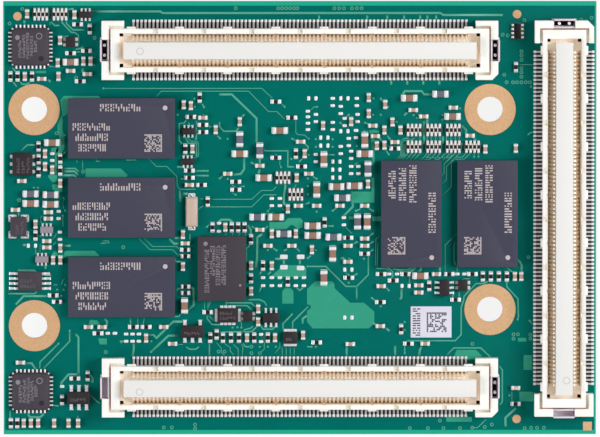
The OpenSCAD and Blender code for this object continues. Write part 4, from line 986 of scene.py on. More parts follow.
DOTS = [
    (-29.35, 10.35), (-33.2, 3.8), (-32.7, 3.8), (-29.3, 0.95), (-29.6, 0.3), (-30.3, -8.95),
    (-29.5, -8.95), (-29.8, -9.7), (-29.3, -8.35), (-28.75, -14.1), (-30.15, -15.7), (-24.5, 16.2),
    (-13.15, 14.9), (-15.25, 12.9), (-13.1, 13.9), (-12.95, 9.9), (-15.2, 6.4), (-18.55, -15.4),
    (-22.3, -15.5), (-18.6, -16.75), (-1.9, 13.9), (-11.95, 13.85), (-7, 12.85), (-9.95, 9.95),
    (-9, 9.9), (-0.95, 9.9), (-11.5, 5.9), (-11.5, 5.3), (-10, 4.95), (-9, 4.9), (-6, 6.9),
    (-2.35, 6.35), (-1.05, 7.4), (-7, 3.95), (-8, 2.9), (-4, 0.85), (-11.6, -1.1), (-2.9, -4.05),
    (-4, -4), (-8.4, -13.7), (-7.8, -13.65), (-7.3, -13.7), (-5, -16.1), (-4, -16.1), (-3, -16.1),
    (-1, -12.05), (2.15, 13.9), (6.1, 12.9), (5.05, 11.9), (8.15, 11.9), (10.1, 14.9), (9.2, 14.95),
    (9.15, 12.9), (11, 13.9), (10.1, 12.9), (12.1, 12), (11.2, 9.9), (11.1, 7.95), (2, 9.85),
    (4.1, 9.85), (2, 8.9), (4.1, 8.9), (1.1, 9.9), (4.2, 7.9), (1.1, 7.9), (1, 4.95), (1, 4), (1, 2.95),
    (2.1, 4.9), (1.1, 1.9), (2.1, 0.8), (4.1, 0.9), (7, 0.9), (9.15, 0.9), (4.1, -1), (9.1, -1.95),
    (9.1, -3), (9.1, -4), (7.1, -3), (1, -5), (8, -5.1), (6.1, -7.1), (7.1, -7), (6.1, -8.1),
    (11.1, -9.05), (9, -10), (10.1, -11.05), (11.1, -14.05), (2, -16.1), (13.1, 12.9), (14.2, 12.85),
    (14.6, 12.5), (17.8, 12.85), (17.8, 12.3), (20, 13.7), (20.3, 9.2), (21.75, 7.65), (22.3, 7.65),
    (13.1, -13), (13.1, -14), (28.85, 16.4), (28.55, 10.45), (28.7, -12.85), (26.2, -22.2),
    (27.2, -12.7), (7.1, 9), (8.05, 10.8), (13.1, -16.9), (-7.6, -14.8), (0.95, -6.05),
]
POURS = [
    [(0.9, -8.9), (1.5, -8.3), (2, -7.9), (4, -7.9), (4.3, -8.2), (4.35, -8.8), (6.3, -10.6), (8, -10.6),
     (9.3, -11.7), (9.3, -13.2), (8.6, -13.8), (1.6, -13.8), (0.9, -13), (0.9, -11.6), (1.35, -11.3),
     (1.35, -10.9),
     (0.9, -10.8)],
    [(-33, 18.4), (-31.65, 18.4), (-31.65, 18.1), (-33, 18.1)],
    [(-29.9, 14.75), (-29.45, 15.25), (-25.1, 15.25), (-24.75, 14.9), (-28.9, 14.85), (-28.95, 13.1),
     (-29.6, 12.6)],
    [(-29.7, 12.8), (-29.55, 12.2), (-29.6, 11.2), (-29.35, 9.9), (-29.4, 8.6), (-29.8, 8), (-30.3, 7.9),
     (-30.45, 8.5), (-29.9, 9.2), (-30.05, 10.2), (-30.25, 11), (-30.25, 11.6)],
    [(-31, 8.8), (-30.1, 8.8), (-30.2, 8.2), (-31.1, 8.3)],
    [(-30.55, 8.2), (-30.3, 8.2), (-30.3, 5.5), (-30.55, 5.5)],
    [(-31.4, 5.4), (-30.3, 5.4), (-30.3, 4.7), (-30.5, 4.5), (-30.9, 4.5), (-31.4, 5.1)],
    [(-30.9, 4.2), (-30.3, 4.2), (-29.7, 3.7), (-29.6, 3.3), (-30.2, 3.2), (-30.9, 3.6)],
    [(-26.75, 6.2), (-22.35, 6.2), (-21.5, 5.4), (-21.6, 5.1), (-26.75, 5.1)],
    [(-29.3, -4.1), (-25.6, -4.1), (-25, -4.75), (-29, -4.75), (-29.6, -5.1), (-30.4, -4.7), (-31, -4.7),
     (-30.8, -4.2), (-30.4, -4.1), (-30.2, -4.6), (-29.5, -4.6)],
    [(-26.4, -13.4), (-26.2, -12.7), (-25.3, -12.8), (-25, -13.3)],
    [(-25.2, -15.05), (-24.1, -15.05), (-24.1, -15.8), (-25, -15.8)],
    [(-1.9, -0.5), (-1.5, 0), (0.1, 0), (0.35, -0.3), (0.35, -1.2), (-0.3, -1.4), (-0.8, -0.9),
     (-1.1, -0.85),
     (-1.7, -1.4), (-3.8, -1.4), (-3.8, -0.5)],
    [(-5.1, 0.4), (-4.7, 0.7), (-4.1, 0.6), (-3.3, 0.7), (-2.9, 0.4)],
    [(-3.8, -7.3), (-3.4, -7.1), (-2.6, -6.4), (-1.5, -5.9), (0.4, -5.9), (0.8, -6.3), (0.8, -7.4),
     (-3.6, -7.4)],
    [(-2.2, -9.2), (-1.9, -8.8), (-1.1, -8.8), (-0.8, -9.2), (-0.8, -10.7), (-2.2, -10.7)],
    [(8.6, 10.9), (9.3, 11.05), (9.9, 10.9), (9.9, 10.6), (8.7, 10.6)],
    [(8.9, 10), (9.3, 10), (9.35, 7), (9, 6.5), (9, 8.4)],
    [(6.4, 3.3), (8.95, 3.3), (8.95, 5), (9.3, 5), (9.3, 1.9), (6.4, 1.9)],
    [(6.1, 0.2), (6.8, 0.2), (6.8, -0.15), (6.1, -0.15)],
    [(9, 0.2), (10.2, 0.2), (10.2, -0.4), (9, -0.4)],
    [(19.3, -17.2), (19.6, -16.5), (22, -16.5), (22.7, -17.2), (22.7, -17.7), (19.3, -17.7)],
    [(18.3, -24.9), (21.5, -24.9), (21.5, -25.5), (18.3, -25.5)],
    [(27.95, -17.15), (29, -17.15), (29, -19), (27.95, -19)],
    [(27.55, -21.75), (29.2, -21.75), (29.2, -22.95), (27.55, -22.95)],
    [(27.25, -15), (28.3, -15), (28.3, -15.45), (27.25, -15.45)],
]


# End of a connector whose hold-down gets no dark dash of painted shade at the foot
UNSHADED_ENDS = {"b": WEST, "c": SOUTH}
# Small chips of a paler mould
LILAC_CHIPS = [(-31.6, -1.6), (-32.2, -5.3)]
# Small chips of the network chips' mould
GREY_CHIPS = [(-35.1, -1), (-33.7, -7.8)]
# Network with a plain black body
PLAIN_NETWORK = (26.8, 22.9)
# Small capacitors of a pale ceramic
PALE_CAPACITORS = [(26.9, -21)]
# Small capacitor beside the upper right hole, which no solid stands for
LONE_CAPACITOR = (19.15, 13.8)


def track_walls(paths):
    """Upright strips along the middle lines of tracks."""
    shape = bmesh.new()
    rise = Vector((0, 0, bpy.context.scene.module_board.copper_t))
    for path in paths:
        verts = [shape.verts.new(at(*point) + UP * FACE) for point in path]
        edges = [shape.edges.new(pair) for pair in zip(verts, verts[1:])]
        made = bmesh.ops.extrude_edge_only(shape, edges=edges)
        tops = [v for v in made["geom"] if isinstance(v, bmesh.types.BMVert)]
        bmesh.ops.translate(shape, vec=rise, verts=tops)
    return shape


# Lamps: name, place in metres and power in watts
LAMPS = [("right", (0.57, 0.12, 0.55), 5.1), ("left", (-0.67, -0.18, 0.4), 3.8)]
LAMP_SIDE = 0.42
WORLD_STRENGTH = 0.24
FLOOR_HALF = 3
FLOOR_DROP = 0.05 * MM
# Point of the board that the camera looks at, and width of the picture in points
AIM = (0.02, -0.06)
PICTURE_W = 600
# Columns of print: in from the left and down from the top in millimetres, and how many places
FLASH_COLUMNS = [(0.86, 1.65, 13), (1.56, 1.2, 9), (2.24, 1.15, 12), (2.95, 1.1, 12)]
NETWORK_COLUMNS = [(0.85, 1.55, 6), (1.34, 0.85, 8), (1.83, 0.6, 9), (2.32, 1, 7), (2.81, 1.6, 4)]
# Round marks of the mould on the islands
MOULD_MARKS = [(-19.9, 20.95), (-20, -21.5), (33.2, -20.1)]
# Run of solder out of the ends of the smallest parts
SMALL_RUN = 0.08 * MM


class ModuleOperator:
    """What the operators share."""

    bl_options = {"REGISTER", "UNDO"}

    def execute(self, context):
        self.make(context.scene)
        return {"FINISHED"}


class MODULE_OT_stage(ModuleOperator, bpy.types.Operator):
    """Floor, lamps, world and the camera over the connector face"""

    bl_idname = "module.stage"
    bl_label = "Stage"

    def make(self, scene):
        look = scene.module_stage
        scene.view_settings.view_transform = "Standard"
        scene.cycles.max_bounces = 20
        scene.cycles.diffuse_bounces = 16
        shape = bmesh.new()
        bmesh.ops.create_grid(shape, x_segments=1, y_segments=1, size=FLOOR_HALF)
        bmesh.ops.translate(shape, vec=(0, 0, -FLOOR_DROP), verts=shape.verts)
        mesh = bpy.data.meshes.new("floor")
        shape.to_mesh(mesh)
        shape.free()
        mesh.materials.append(floor_finish(look))
        floor = bpy.data.objects.new("floor", mesh)
        scene.collection.objects.link(floor)
        for name, place, power in LAMPS:
            self.lamp(scene, name, place, power)
        self.world(scene)
        self.camera(scene, look)

    def lamp(self, scene, name, place, power):
        """Square lamp that faces the module."""
        light = bpy.data.lights.new(name, "AREA")
        light.size = LAMP_SIDE
        light.energy = power
        lamp = bpy.data.objects.new(name, light)
        lamp.location = place
        lamp.rotation_euler = (-Vector(place)).to_track_quat("-Z", "Y").to_euler()
        scene.collection.objects.link(lamp)

    def world(self, scene):
        """Even light from all round."""
        world = bpy.data.worlds.new("studio")
        world.use_nodes = True
        ground = world.node_tree.nodes["Background"]
        ground.inputs["Color"].default_value = (1, 1, 1, 1)
        ground.inputs["Strength"].default_value = WORLD_STRENGTH
        scene.world = world

    def camera(self, scene, look):
        """Camera far over the board, with a lens that gives the picture's scale."""
        camera = bpy.data.cameras.new("camera")
        camera.sensor_fit = "HORIZONTAL"
        aim = at(*AIM) + UP * FACE
        place = Vector((look.off_x, look.off_y, FACE + look.height))
        back = (place - aim).normalized()
        right = NORTH.cross(back).normalized()
        top = back.cross(right)
        camera.lens = camera.sensor_width * look.pixels_per_mm * (place - aim).length / MM / PICTURE_W
        camera.clip_start = 0.01
        holder = bpy.data.objects.new("camera", camera)
        holder.matrix_world = Matrix.Translation(place) @ Matrix((right, top, back)).transposed().to_4x4()
        scene.collection.objects.link(holder)
        scene.camera = holder


class MODULE_OT_board(ModuleOperator, bpy.types.Operator):
    """Circuit board with its mask, its cut edges and the gold of its holes and pads"""

    bl_idname = "module.board"
    bl_label = "Board"

    def make(self, scene):
        look = scene.module_board
        shape = rounded("circuit_board", look.round_by)
        paint_sides(shape)
        laminate = grained("laminate", tuple(look.laminate), 0.1 * MM, 0.2, 0.7)
        keep("board", shape, [mask_finish(look), laminate], "board_green", "circuit_board")
        gold = gold_finish("gold", tuple(look.gold))
        keep("hole_rings", rounded("plated_holes", 0.02 * MM, 1), [gold], "gold", "plated_holes")
        keep("aiming_pads", rounded("fiducials", 0.02 * MM, 1), [gold], "gold", "fiducials")
        lands = pillows("bare_lands", 0.03 * MM, 0.1 * MM, -0.035 * MM)
        keep("bare_solder", lands, [solder()], "tin", "bare_lands")


class MODULE_OT_copper(ModuleOperator, bpy.types.Operator):
    """Tracks, pours and vias under the mask"""

    bl_idname = "module.copper"
    bl_label = "Copper"

    def make(self, scene):
        look = scene.module_board
        copper = grained("masked_copper", tuple(look.copper), 0.2 * MM, 0.12, 0.42, 0, 0.3)
        for name, paths, wide in (
            ("wide_tracks", WIDE_TRACKS, look.wide_w),
            ("middle_tracks", MIDDLE_TRACKS, look.middle_w),
            ("fine_tracks", FINE_TRACKS, look.fine_w),
        ):
            piece = keep(name, track_walls(paths), [copper], "board_green")
            wall = piece.modifiers.new("width", "SOLIDIFY")
            wall.thickness = wide
            wall.offset = 0
            wall.use_even_offset = True
        self.pours(look)
        self.vias(look, copper)
        self.dots(look, copper)

    def pours(self, look):
        """Wide copper, a little lower than the tracks."""
        pour = grained("masked_pour", tuple(look.pour), 0.2 * MM, 0.12, 0.42, 0, 0.3)
        shape = bmesh.new()
        for outline in POURS:
            face = shape.faces.new([shape.verts.new(at(*point) + UP * FACE) for point in outline])
            face.normal_update()
            if face.normal.z > 0:
                face.normal_flip()
            made = bmesh.ops.extrude_face_region(shape, geom=[face], use_keep_orig=True)
            tops = [v for v in made["geom"] if isinstance(v, bmesh.types.BMVert)]
            bmesh.ops.translate(shape, vec=(0, 0, look.copper_t * 0.8), verts=tops)
        bmesh.ops.recalc_face_normals(shape, faces=shape.faces)
        keep("pours", shape, [pour], "board_green")

    def vias(self, look, copper):
        """Rings of copper, a little higher than the tracks, with a hole in the middle."""
        r = look.via_d / 2
        eyelet = bmesh.new()
        bmesh.ops.create_cone(
            eyelet, cap_ends=True, segments=14, radius1=r, radius2=r, depth=look.copper_t * 1.1,
            matrix=Matrix.Translation((0, 0, look.copper_t * 0.55)),
        )
        eyelet.faces.ensure_lookup_table()
        top = max(eyelet.faces, key=lambda f: f.calc_center_median().z)
        bmesh.ops.inset_region(eyelet, faces=[top], thickness=look.via_d * 0.17)
        bmesh.ops.inset_region(eyelet, faces=[top], thickness=0.02 * MM, depth=-0.6 * look.copper_t)
        top.material_index = 1
        mesh = template(eyelet)
        shape = bmesh.new()
        for place in VIAS:
            stamp(shape, mesh, Matrix.Translation(at(*place) + UP * FACE))
        hole = grained("via_hole", tuple(look.mask), 0.1 * MM)
        keep("vias", shape, [copper, hole], "board_green")

    def dots(self, look, copper):
        """Filled vias, a little higher than the rings."""
        shape = bmesh.new()
        for place in DOTS:
            disc(shape, at(*place), look.dot_d / 2, FACE, look.copper_t * 1.2)
        keep("filled_vias", shape, [copper], "board_green")


class MODULE_OT_connectors(ModuleOperator, bpy.types.Operator):
    """Three mezzanine connectors: housings, contacts with their solder, ground plates and hold-downs"""

    bl_idname = "module.connectors"
    bl_label = "Connectors"

    def make(self, scene):
        look = scene.module_connector
        outside = outer_plastic_finish(look)
        spring = grained("contact_gold", tuple(look.spring), 0.2 * MM, 0.05, 0.4, 0.1)
        tail = grained("contact_tail", tuple(look.tail), 0.15 * MM, 0.15, 0.38, 0.4)
        # Painted shade: the tan sheet that shows under the slots
        under = grained("under_slot_shade", tuple(look.under), 0.15 * MM, 0.2, 0.7, 0, 0.15)
        plate = gold_finish("ground_plate", tuple(look.plate), 0.45, 0.05)
        sheet = grained("hold_down_sheet", tuple(look.sheet), 0.2 * MM, 0.1, 0.45, 0.05)
        # Near-black strips and dashes: partly an opening in the mask, partly painted shade
        bare = grained("bare_laminate_and_shade", tuple(scene.module_board.bare), 0.15 * MM, 0.25, 0.7, 0, 0.15)
        for letter in CONNECTORS:
            node = "connector_%s_" % letter
            self.housing(node, look, plastic_finish(look, node), outside)
            self.contacts(node, look, spring, tail)
            self.tail_solder(node, bare, under)
            plates = rounded(node + "ground_plates", 0.02 * MM, 1)
            keep(node + "plates", plates, [plate], "contact_gold", node + "ground_plates")
            self.holds(node, UNSHADED_ENDS.get(letter, Vector()), sheet, bare, outside)
        self.mould_marks(look)

    def holds(self, node, unshaded_end, sheet, bare, outside):
        """Hold-downs, most of them with a dark dash of painted shade for the shaded slot at the foot, and
        two round ribs of the housing in it.
        """
        low, high = corners(node + "housing")
        middle = (low + high) / 2
        along, across = lengthways(low, high)
        foot_out = (high - low).dot(along) / 2 - 0.365 * MM
        foot_top = FACE + 0.2 * MM
        keep(node + "holds", rounded(node + "hold_downs", 0.04 * MM), [sheet], "tin", node + "hold_downs")
        slots = bmesh.new()
        ribs = bmesh.new()
        for end in (-1, 1):
            if end * along.dot(unshaded_end) > 0:
                continue
            spot = middle + along * (end * foot_out)
            reach = along * 0.27 * MM + across * 1.2 * MM
            # Painted shade: dark dash on the foot that stands for the slot
            dash(slots, spot - reach, spot + reach, foot_top, STRIP_T)
            for side in (-1, 1):
                disc(ribs, spot + across * (side * 0.62 * MM), 0.19 * MM, foot_top, 1.5 * MM)
        keep(node + "foot_slot_shade", slots, [bare], "tin")
        keep(node + "foot_ribs", ribs, [outside], "connector_plastic")

    def mould_marks(self, look):
        """Round lines on the islands."""
        shape = bmesh.new()
        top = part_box("connector_a_housing")[1][2]
        for place in MOULD_MARKS:
            ring(shape, at(*place), 0.46 * MM, 0.1 * MM, top)
        mark = grained("mould_mark", tuple(look.mould_mark), 0.1 * MM, 0.05)
        keep("mould_marks", shape, [mark], "connector_plastic")

    def housing(self, node, look, inside, outside):
        """Housing, with the inside's finish, which carries the painted shade, in its cavity and in the
        grooves of its ears.
        """
        low, high = corners(node + "housing")
        shape = rounded(node + "housing", look.round_by)
        middle = (low + high) / 2
        along, across = lengthways(low, high)
        row_low, row_high = corners(node + "contacts")
        cavity = (row_high - row_low).dot(along) / 2 + 1.65 * MM
        groove = cavity + 1 * MM
        groove_end = (high - low).dot(along) / 2 - 0.9 * MM
        for face in shape.faces:
            off = face.calc_center_median() - middle
            far, aside = abs(off.dot(along)), abs(off.dot(across))
            in_cavity = far < cavity and aside < 2.2 * MM
            in_groove = groove < far < groove_end and aside < 3.1 * MM
            face.material_index = 0 if in_cavity or in_groove else 1
        keep(node + "shell", shape, [inside, outside], "connector_plastic", node + "housing")

    def contacts(self, node, look, spring, tail):
        """Contacts with rounded bends, gold above and tin at the tails."""
        shape = merged(node + "contacts")
        bmesh.ops.dissolve_limit(shape, angle_limit=math.radians(1), verts=shape.verts, edges=shape.edges)
        low, high = corners(node + "contacts")
        along, _ = lengthways(low, high)
        least = 1.6 * min(f.calc_area() for f in shape.faces)
        bends = [
            e for e in shape.edges
            if e.is_manifold and e.calc_face_angle() > math.radians(8)
            and abs((e.verts[0].co - e.verts[1].co).normalized().dot(along)) > 0.99
            and min(f.calc_area() for f in e.link_faces) > least
        ]
        bevel(shape, bends, look.bend, 2)
        for face in shape.faces:
            face.material_index = 1 if face.calc_center_median().z < FACE + 0.2 * MM else 0
        keep(node + "springs", shape, [spring, tail], "contact_gold", node + "contacts")

    def tail_solder(self, node, bare, under):
        """Solder on the contacts' tails, the dark strips beside it, which are partly bare laminate and
        partly painted shade, and a tan sheet of painted shade that shows under the slots.
        """
        low, high = corners(node + "contacts")
        middle = (low + high) / 2
        along, across = lengthways(low, high)
        row = (high - low).dot(along)
        shape = bmesh.new()
        lump = box_shape((-0.26 * MM, -0.17 * MM, 0), (0.1 * MM, 0.17 * MM, 0.17 * MM), 0.07 * MM)
        mesh = template(lump)
        for box_low, box_high in corner_boxes(node + "contacts"):
            spot = (box_low + box_high) / 2
            way = across if (spot - middle).dot(across) > 0 else -across
            tip = spot + way * ((box_high - box_low).dot(across) / 2)
            tip.z = FACE
            stamp(shape, mesh, Matrix.Translation(tip) @ turned(way))
        keep(node + "tail_solder", shape, [solder()], "tin")
        # Near-black strips along the tails: partly an opening in the mask, partly painted shade
        strip = bmesh.new()
        outer = (high - low).dot(across) / 2
        end_run = along * (row / 2 + 0.1 * MM)
        for side in (-1, 1):
            near = middle + across * (side * (outer - 1.1 * MM)) - end_run
            far = middle + across * (side * (outer - 0.05 * MM)) + end_run
            dash(strip, near, far, FACE, STRIP_T)
        # Near-black plates of painted shade under the housing's ends, seen through the corner holes
        inner = across * 2.1 * MM
        for end in (-1, 1):
            near = middle + end_run * end
            dash(strip, near - inner, near + along * (end * 1.5 * MM) + inner, FACE, STRIP_T)
        keep(node + "tail_strip_shade", strip, [bare], "board_green")
        # Painted shade: tan sheet under the slots of the floor
        slots = bmesh.new()
        reach = end_run + inner
        dash(slots, middle - reach, middle + reach, FACE, 2 * STRIP_T)
        keep(node + "under_slot_shade", slots, [under], "board_green")


class MODULE_OT_memories(ModuleOperator, bpy.types.Operator):
    """Memory packages, the boot flash and the storage flash, with their marks and print"""

    bl_idname = "module.memories"
    bl_label = "Memories"

    def make(self, scene):
        look = scene.module_package
        mould = grained("memory_mould", tuple(look.memory), 0.07 * MM, 0.16, 0.62)
        flash = grained("flash_mould", tuple(look.flash), 0.07 * MM, 0.2, 0.62)
        mark = grained("memory_print", tuple(look.mark), 0.1 * MM, 0.1, 0.7)
        faint = grained("package_print", tuple(look.faint), 0.1 * MM, 0.1, 0.7)
        names = ["memory_%d" % i for i in range(1, 6)] + ["rear_memory_1", "rear_memory_2"]
        print_shape = bmesh.new()
        for seed, name in enumerate(names):
            keep(name + "_body", rounded(name, look.round_by), [mould], "memory_mould", name)
            self.print_memory(print_shape, name, seed)
        for name in ("boot_flash", "storage_flash"):
            keep(name + "_body", rounded(name, look.round_by), [flash], "black_mould", name)
        keep("memory_print", print_shape, [mark], "memory_mould")
        keep("flash_print", self.flash_print(), [faint], "black_mould")
        for node in ("memory_balls", "flash_balls"):
            finish_node(node, solder())

    def print_memory(self, shape, name, seed):
        """First mark, lines of print and a patch of dots on one memory."""
        low, high = corners(name)
        z = high.z if low.z > REAR else low.z
        if high.x - low.x > high.y - low.y:
            first, along, up = Vector((high.x, high.y, 0)), WEST, SOUTH
        else:
            first, along, up = Vector((high.x, low.y, 0)), NORTH, WEST
        disc(shape, first + along * 1.2 * MM + up * 1.2 * MM, 0.3 * MM, z)
        start = first + along * 4.3 * MM + up * 0.7 * MM
        dashed_line(shape, start, along, up, 8, 0.65 * MM, 0.92 * MM, z, seed)
        for row in range(3):
            start = first + along * (8.1 + 0.25 * row) * MM + up * (3.1 + 1.3 * row) * MM
            dashed_line(shape, start, along, up, 8 - row, 0.6 * MM, 0.92 * MM, z, seed * 7 + row)
        code_patch(shape, first + along * 1.6 * MM + up * 4.5 * MM, along, up, 2.2 * MM, 12, z, seed + 40)

    def flash_print(self):
        """Print on the boot flash and the storage flash."""
        shape = bmesh.new()
        low, high = corners("boot_flash")
        first = Vector((low.x, high.y, 0))
        for seed, (column, lead, count) in enumerate(FLASH_COLUMNS):
            start = first + at(column, -lead)
            dashed_line(shape, start, SOUTH, EAST, count, 0.42 * MM, 0.58 * MM, high.z, seed + 90)
        disc(shape, first + at(0.99, -0.9), 0.27 * MM, high.z)
        disc(shape, first + at(5.3, -6.1), 0.16 * MM, high.z)
        low, high = corners("storage_flash")
        for row in range(3):
            start = Vector((low.x + 2 * MM, high.y - (4 + 1.5 * row) * MM, 0))
            dashed_line(shape, start, EAST, NORTH, 9, 0.8 * MM, 1 * MM, low.z, row + 120)
        return shape


class MODULE_OT_chips(ModuleOperator, bpy.types.Operator):
    """Network chips, small chips, oscillators, the crystal and the sticker, with leads, lands and solder"""

    bl_idname = "module.chips"
    bl_label = "Chips"

    def make(self, scene):
        look = scene.module_package
        parts = scene.module_part
        network = grained("network_mould", tuple(look.network), 0.07 * MM, 0.2, 0.6)
        small = grained("small_mould", tuple(look.small), 0.07 * MM, 0.25, 0.58)
        mark = bpy.data.materials["package_print"]
        for name in ("network_chip_1", "network_chip_2"):
            keep(name + "_body", rounded(name, look.round_by), [network], "black_mould", name)
        lilac = grained("lilac_mould", tuple(look.lilac), 0.07 * MM, 0.12, 0.58)
        for name in ("small_outline_chips", "leadless_chips", "oscillators", "converter_chips"):
            bodies = rounded(name, look.round_by)
            paint_near(bodies, LILAC_CHIPS, 1.1 * MM)
            paint_near(bodies, GREY_CHIPS, 1.7 * MM, 2)
            keep(name + "_bodies", bodies, [small, lilac, network], "black_mould", name)
        keep("leads", self.leads(), [solder()], "tin", "small_outline_leads")
        for node, grow in (
            ("network_chip_lands", -0.04), ("leadless_lands", 0.1),
            ("oscillator_feet", 0.15), ("converter_lands", 0),
        ):
            keep(node + "_solder", pillows(node, 0.02 * MM, 0.08 * MM, grow * MM), [solder()], "tin", node)
        ceramic = grained("crystal_ceramic", tuple(parts.ceramic), 0.1 * MM, 0.1, 0.6)
        lid = grained("crystal_lid", tuple(parts.crystal), 0.2 * MM, 0.06, 0.36, 0.3)
        base = rounded("crystal_base", 0.04 * MM)
        keep("crystal_body", base, [ceramic], "crystal_ceramic", "crystal_base")
        keep("crystal_cap", rounded("crystal_lid", 0.1 * MM, 3), [lid], "crystal_metal", "crystal_lid")
        ends = pillows("crystal_terminals", 0.04 * MM, 0.1 * MM)
        keep("crystal_solder", ends, [solder()], "tin", "crystal_terminals")
        self.sticker(look)
        self.network_marks(mark, small)
        self.chip_print(grained("small_print", tuple(look.dim), 0.1 * MM, 0.1, 0.7))

    def leads(self):
        """Bent leads with solder at their feet."""
        shape = joined(rounded("small_outline_leads", 0.02 * MM, 1))
        bodies = corner_boxes("small_outline_chips")
        for low, high in corner_boxes("small_outline_leads"):
            way = out_of((low, high), bodies)
            middle = (low + high) / 2
            reach = (high.x - low.x if way.x else high.y - low.y) / 2
            wide = high.y - low.y if way.x else high.x - low.x
            flow = template(fillet(0.12 * MM, wide * 1.25, 0.13 * MM))
            tip = Vector((middle.x, middle.y, FACE)) + way * (reach - 0.02 * MM)
            stamp(shape, flow, Matrix.Translation(tip) @ turned(way))
            bpy.data.meshes.remove(flow)
        return shape

    def sticker(self, look):
        """Paper with a line of print and a patch of dots."""
        paper = grained("sticker_paper", tuple(look.paper), 0.15 * MM, 0.03, 0.75, 0, 0.2)
        ink = grained("sticker_ink", tuple(look.ink), 0.1 * MM, 0.1, 0.7)
        keep("sticker_sheet", rounded("sticker", 0.03 * MM), [paper], "sticker_paper", "sticker")
        low, high = corners("sticker")
        shape = bmesh.new()
        corner = Vector((low.x + 2 * MM, high.y - 0.75 * MM, 0))
        code_patch(shape, corner, EAST, SOUTH, 2.5 * MM, 12, high.z, 5)
        start = Vector((low.x + 0.25 * MM, high.y - 0.25 * MM, 0))
        dashed_line(shape, start, SOUTH, EAST, 6, 0.6 * MM, 0.95 * MM, high.z, 8)
        keep("sticker_print", shape, [ink], "sticker_paper")

    def chip_print(self, mark):
        """Lines of print on the larger of the small chips."""
        shape = bmesh.new()
        for node in ("small_outline_chips", "leadless_chips", "oscillators"):
            for seed, (low, high) in enumerate(corner_boxes(node)):
                extent = high - low
                if low.z < REAR or min(extent.x, extent.y) < 1.4 * MM:
                    continue
                along, up, long, wide = EAST, NORTH, extent.x, extent.y
                if extent.y > extent.x:
                    along, up, long, wide = NORTH, WEST, extent.y, extent.x
                corner = (low + high) / 2 - along * (long / 2 - 0.35 * MM) - up * (wide / 2 - 0.35 * MM)
                for row in range(int((wide - 0.5 * MM) / (0.62 * MM))):
                    count = int((long - 0.6 * MM) / (0.4 * MM)) - row % 2
                    start = corner + up * row * 0.62 * MM
                    dashed_line(shape, start, along, up, count, 0.4 * MM, 0.4 * MM, high.z, seed + row)
        keep("small_chip_print", shape, [mark], "black_mould")

    def network_marks(self, mark, dark):
        """Print, round marks, corner bits and dark strips of painted shade between the lands of the network
        chips.
        """
        shape = bmesh.new()
        mark_and_shade_shape = bmesh.new()
        corner_bits = bmesh.new()
        for seed, name in enumerate(("network_chip_1", "network_chip_2")):
            low, high = corners(name)
            first = Vector((low.x, high.y, 0))
            for row, (column, lead, count) in enumerate(NETWORK_COLUMNS):
                start = first + at(column, -lead)
                draw = seed * 9 + row
                dashed_line(shape, start, SOUTH, EAST, count, 0.37 * MM, 0.38 * MM, high.z, draw)
            disc(shape, first + at(0.76, -1.18), 0.3 * MM, high.z)
            ring(shape, first + at(3.45, -1), 0.4 * MM, 0.1 * MM, high.z)
            disc(mark_and_shade_shape, first + at(3.7, -3.8), 0.34 * MM, high.z)
            # Painted shade: dark sheet under the chip that shows between its lands
            for x, y in ((0.3, -0.2), (-0.2, 0.3)):
                reach = at(x, y)
                dash(mark_and_shade_shape, low - reach, high + reach, FACE, 0.008 * MM)
            for x in (low.x + 0.12 * MM, high.x - 0.12 * MM):
                for y in (low.y + 0.12 * MM, high.y - 0.12 * MM):
                    disc(corner_bits, Vector((x, y, 0)), 0.11 * MM, low.z + 0.2 * MM)
        keep("chip_print", shape, [mark], "black_mould")
        keep("chip_marks_and_shade", mark_and_shade_shape, [dark], "black_mould")
        keep("chip_corner_bits", corner_bits, [solder()], "tin")


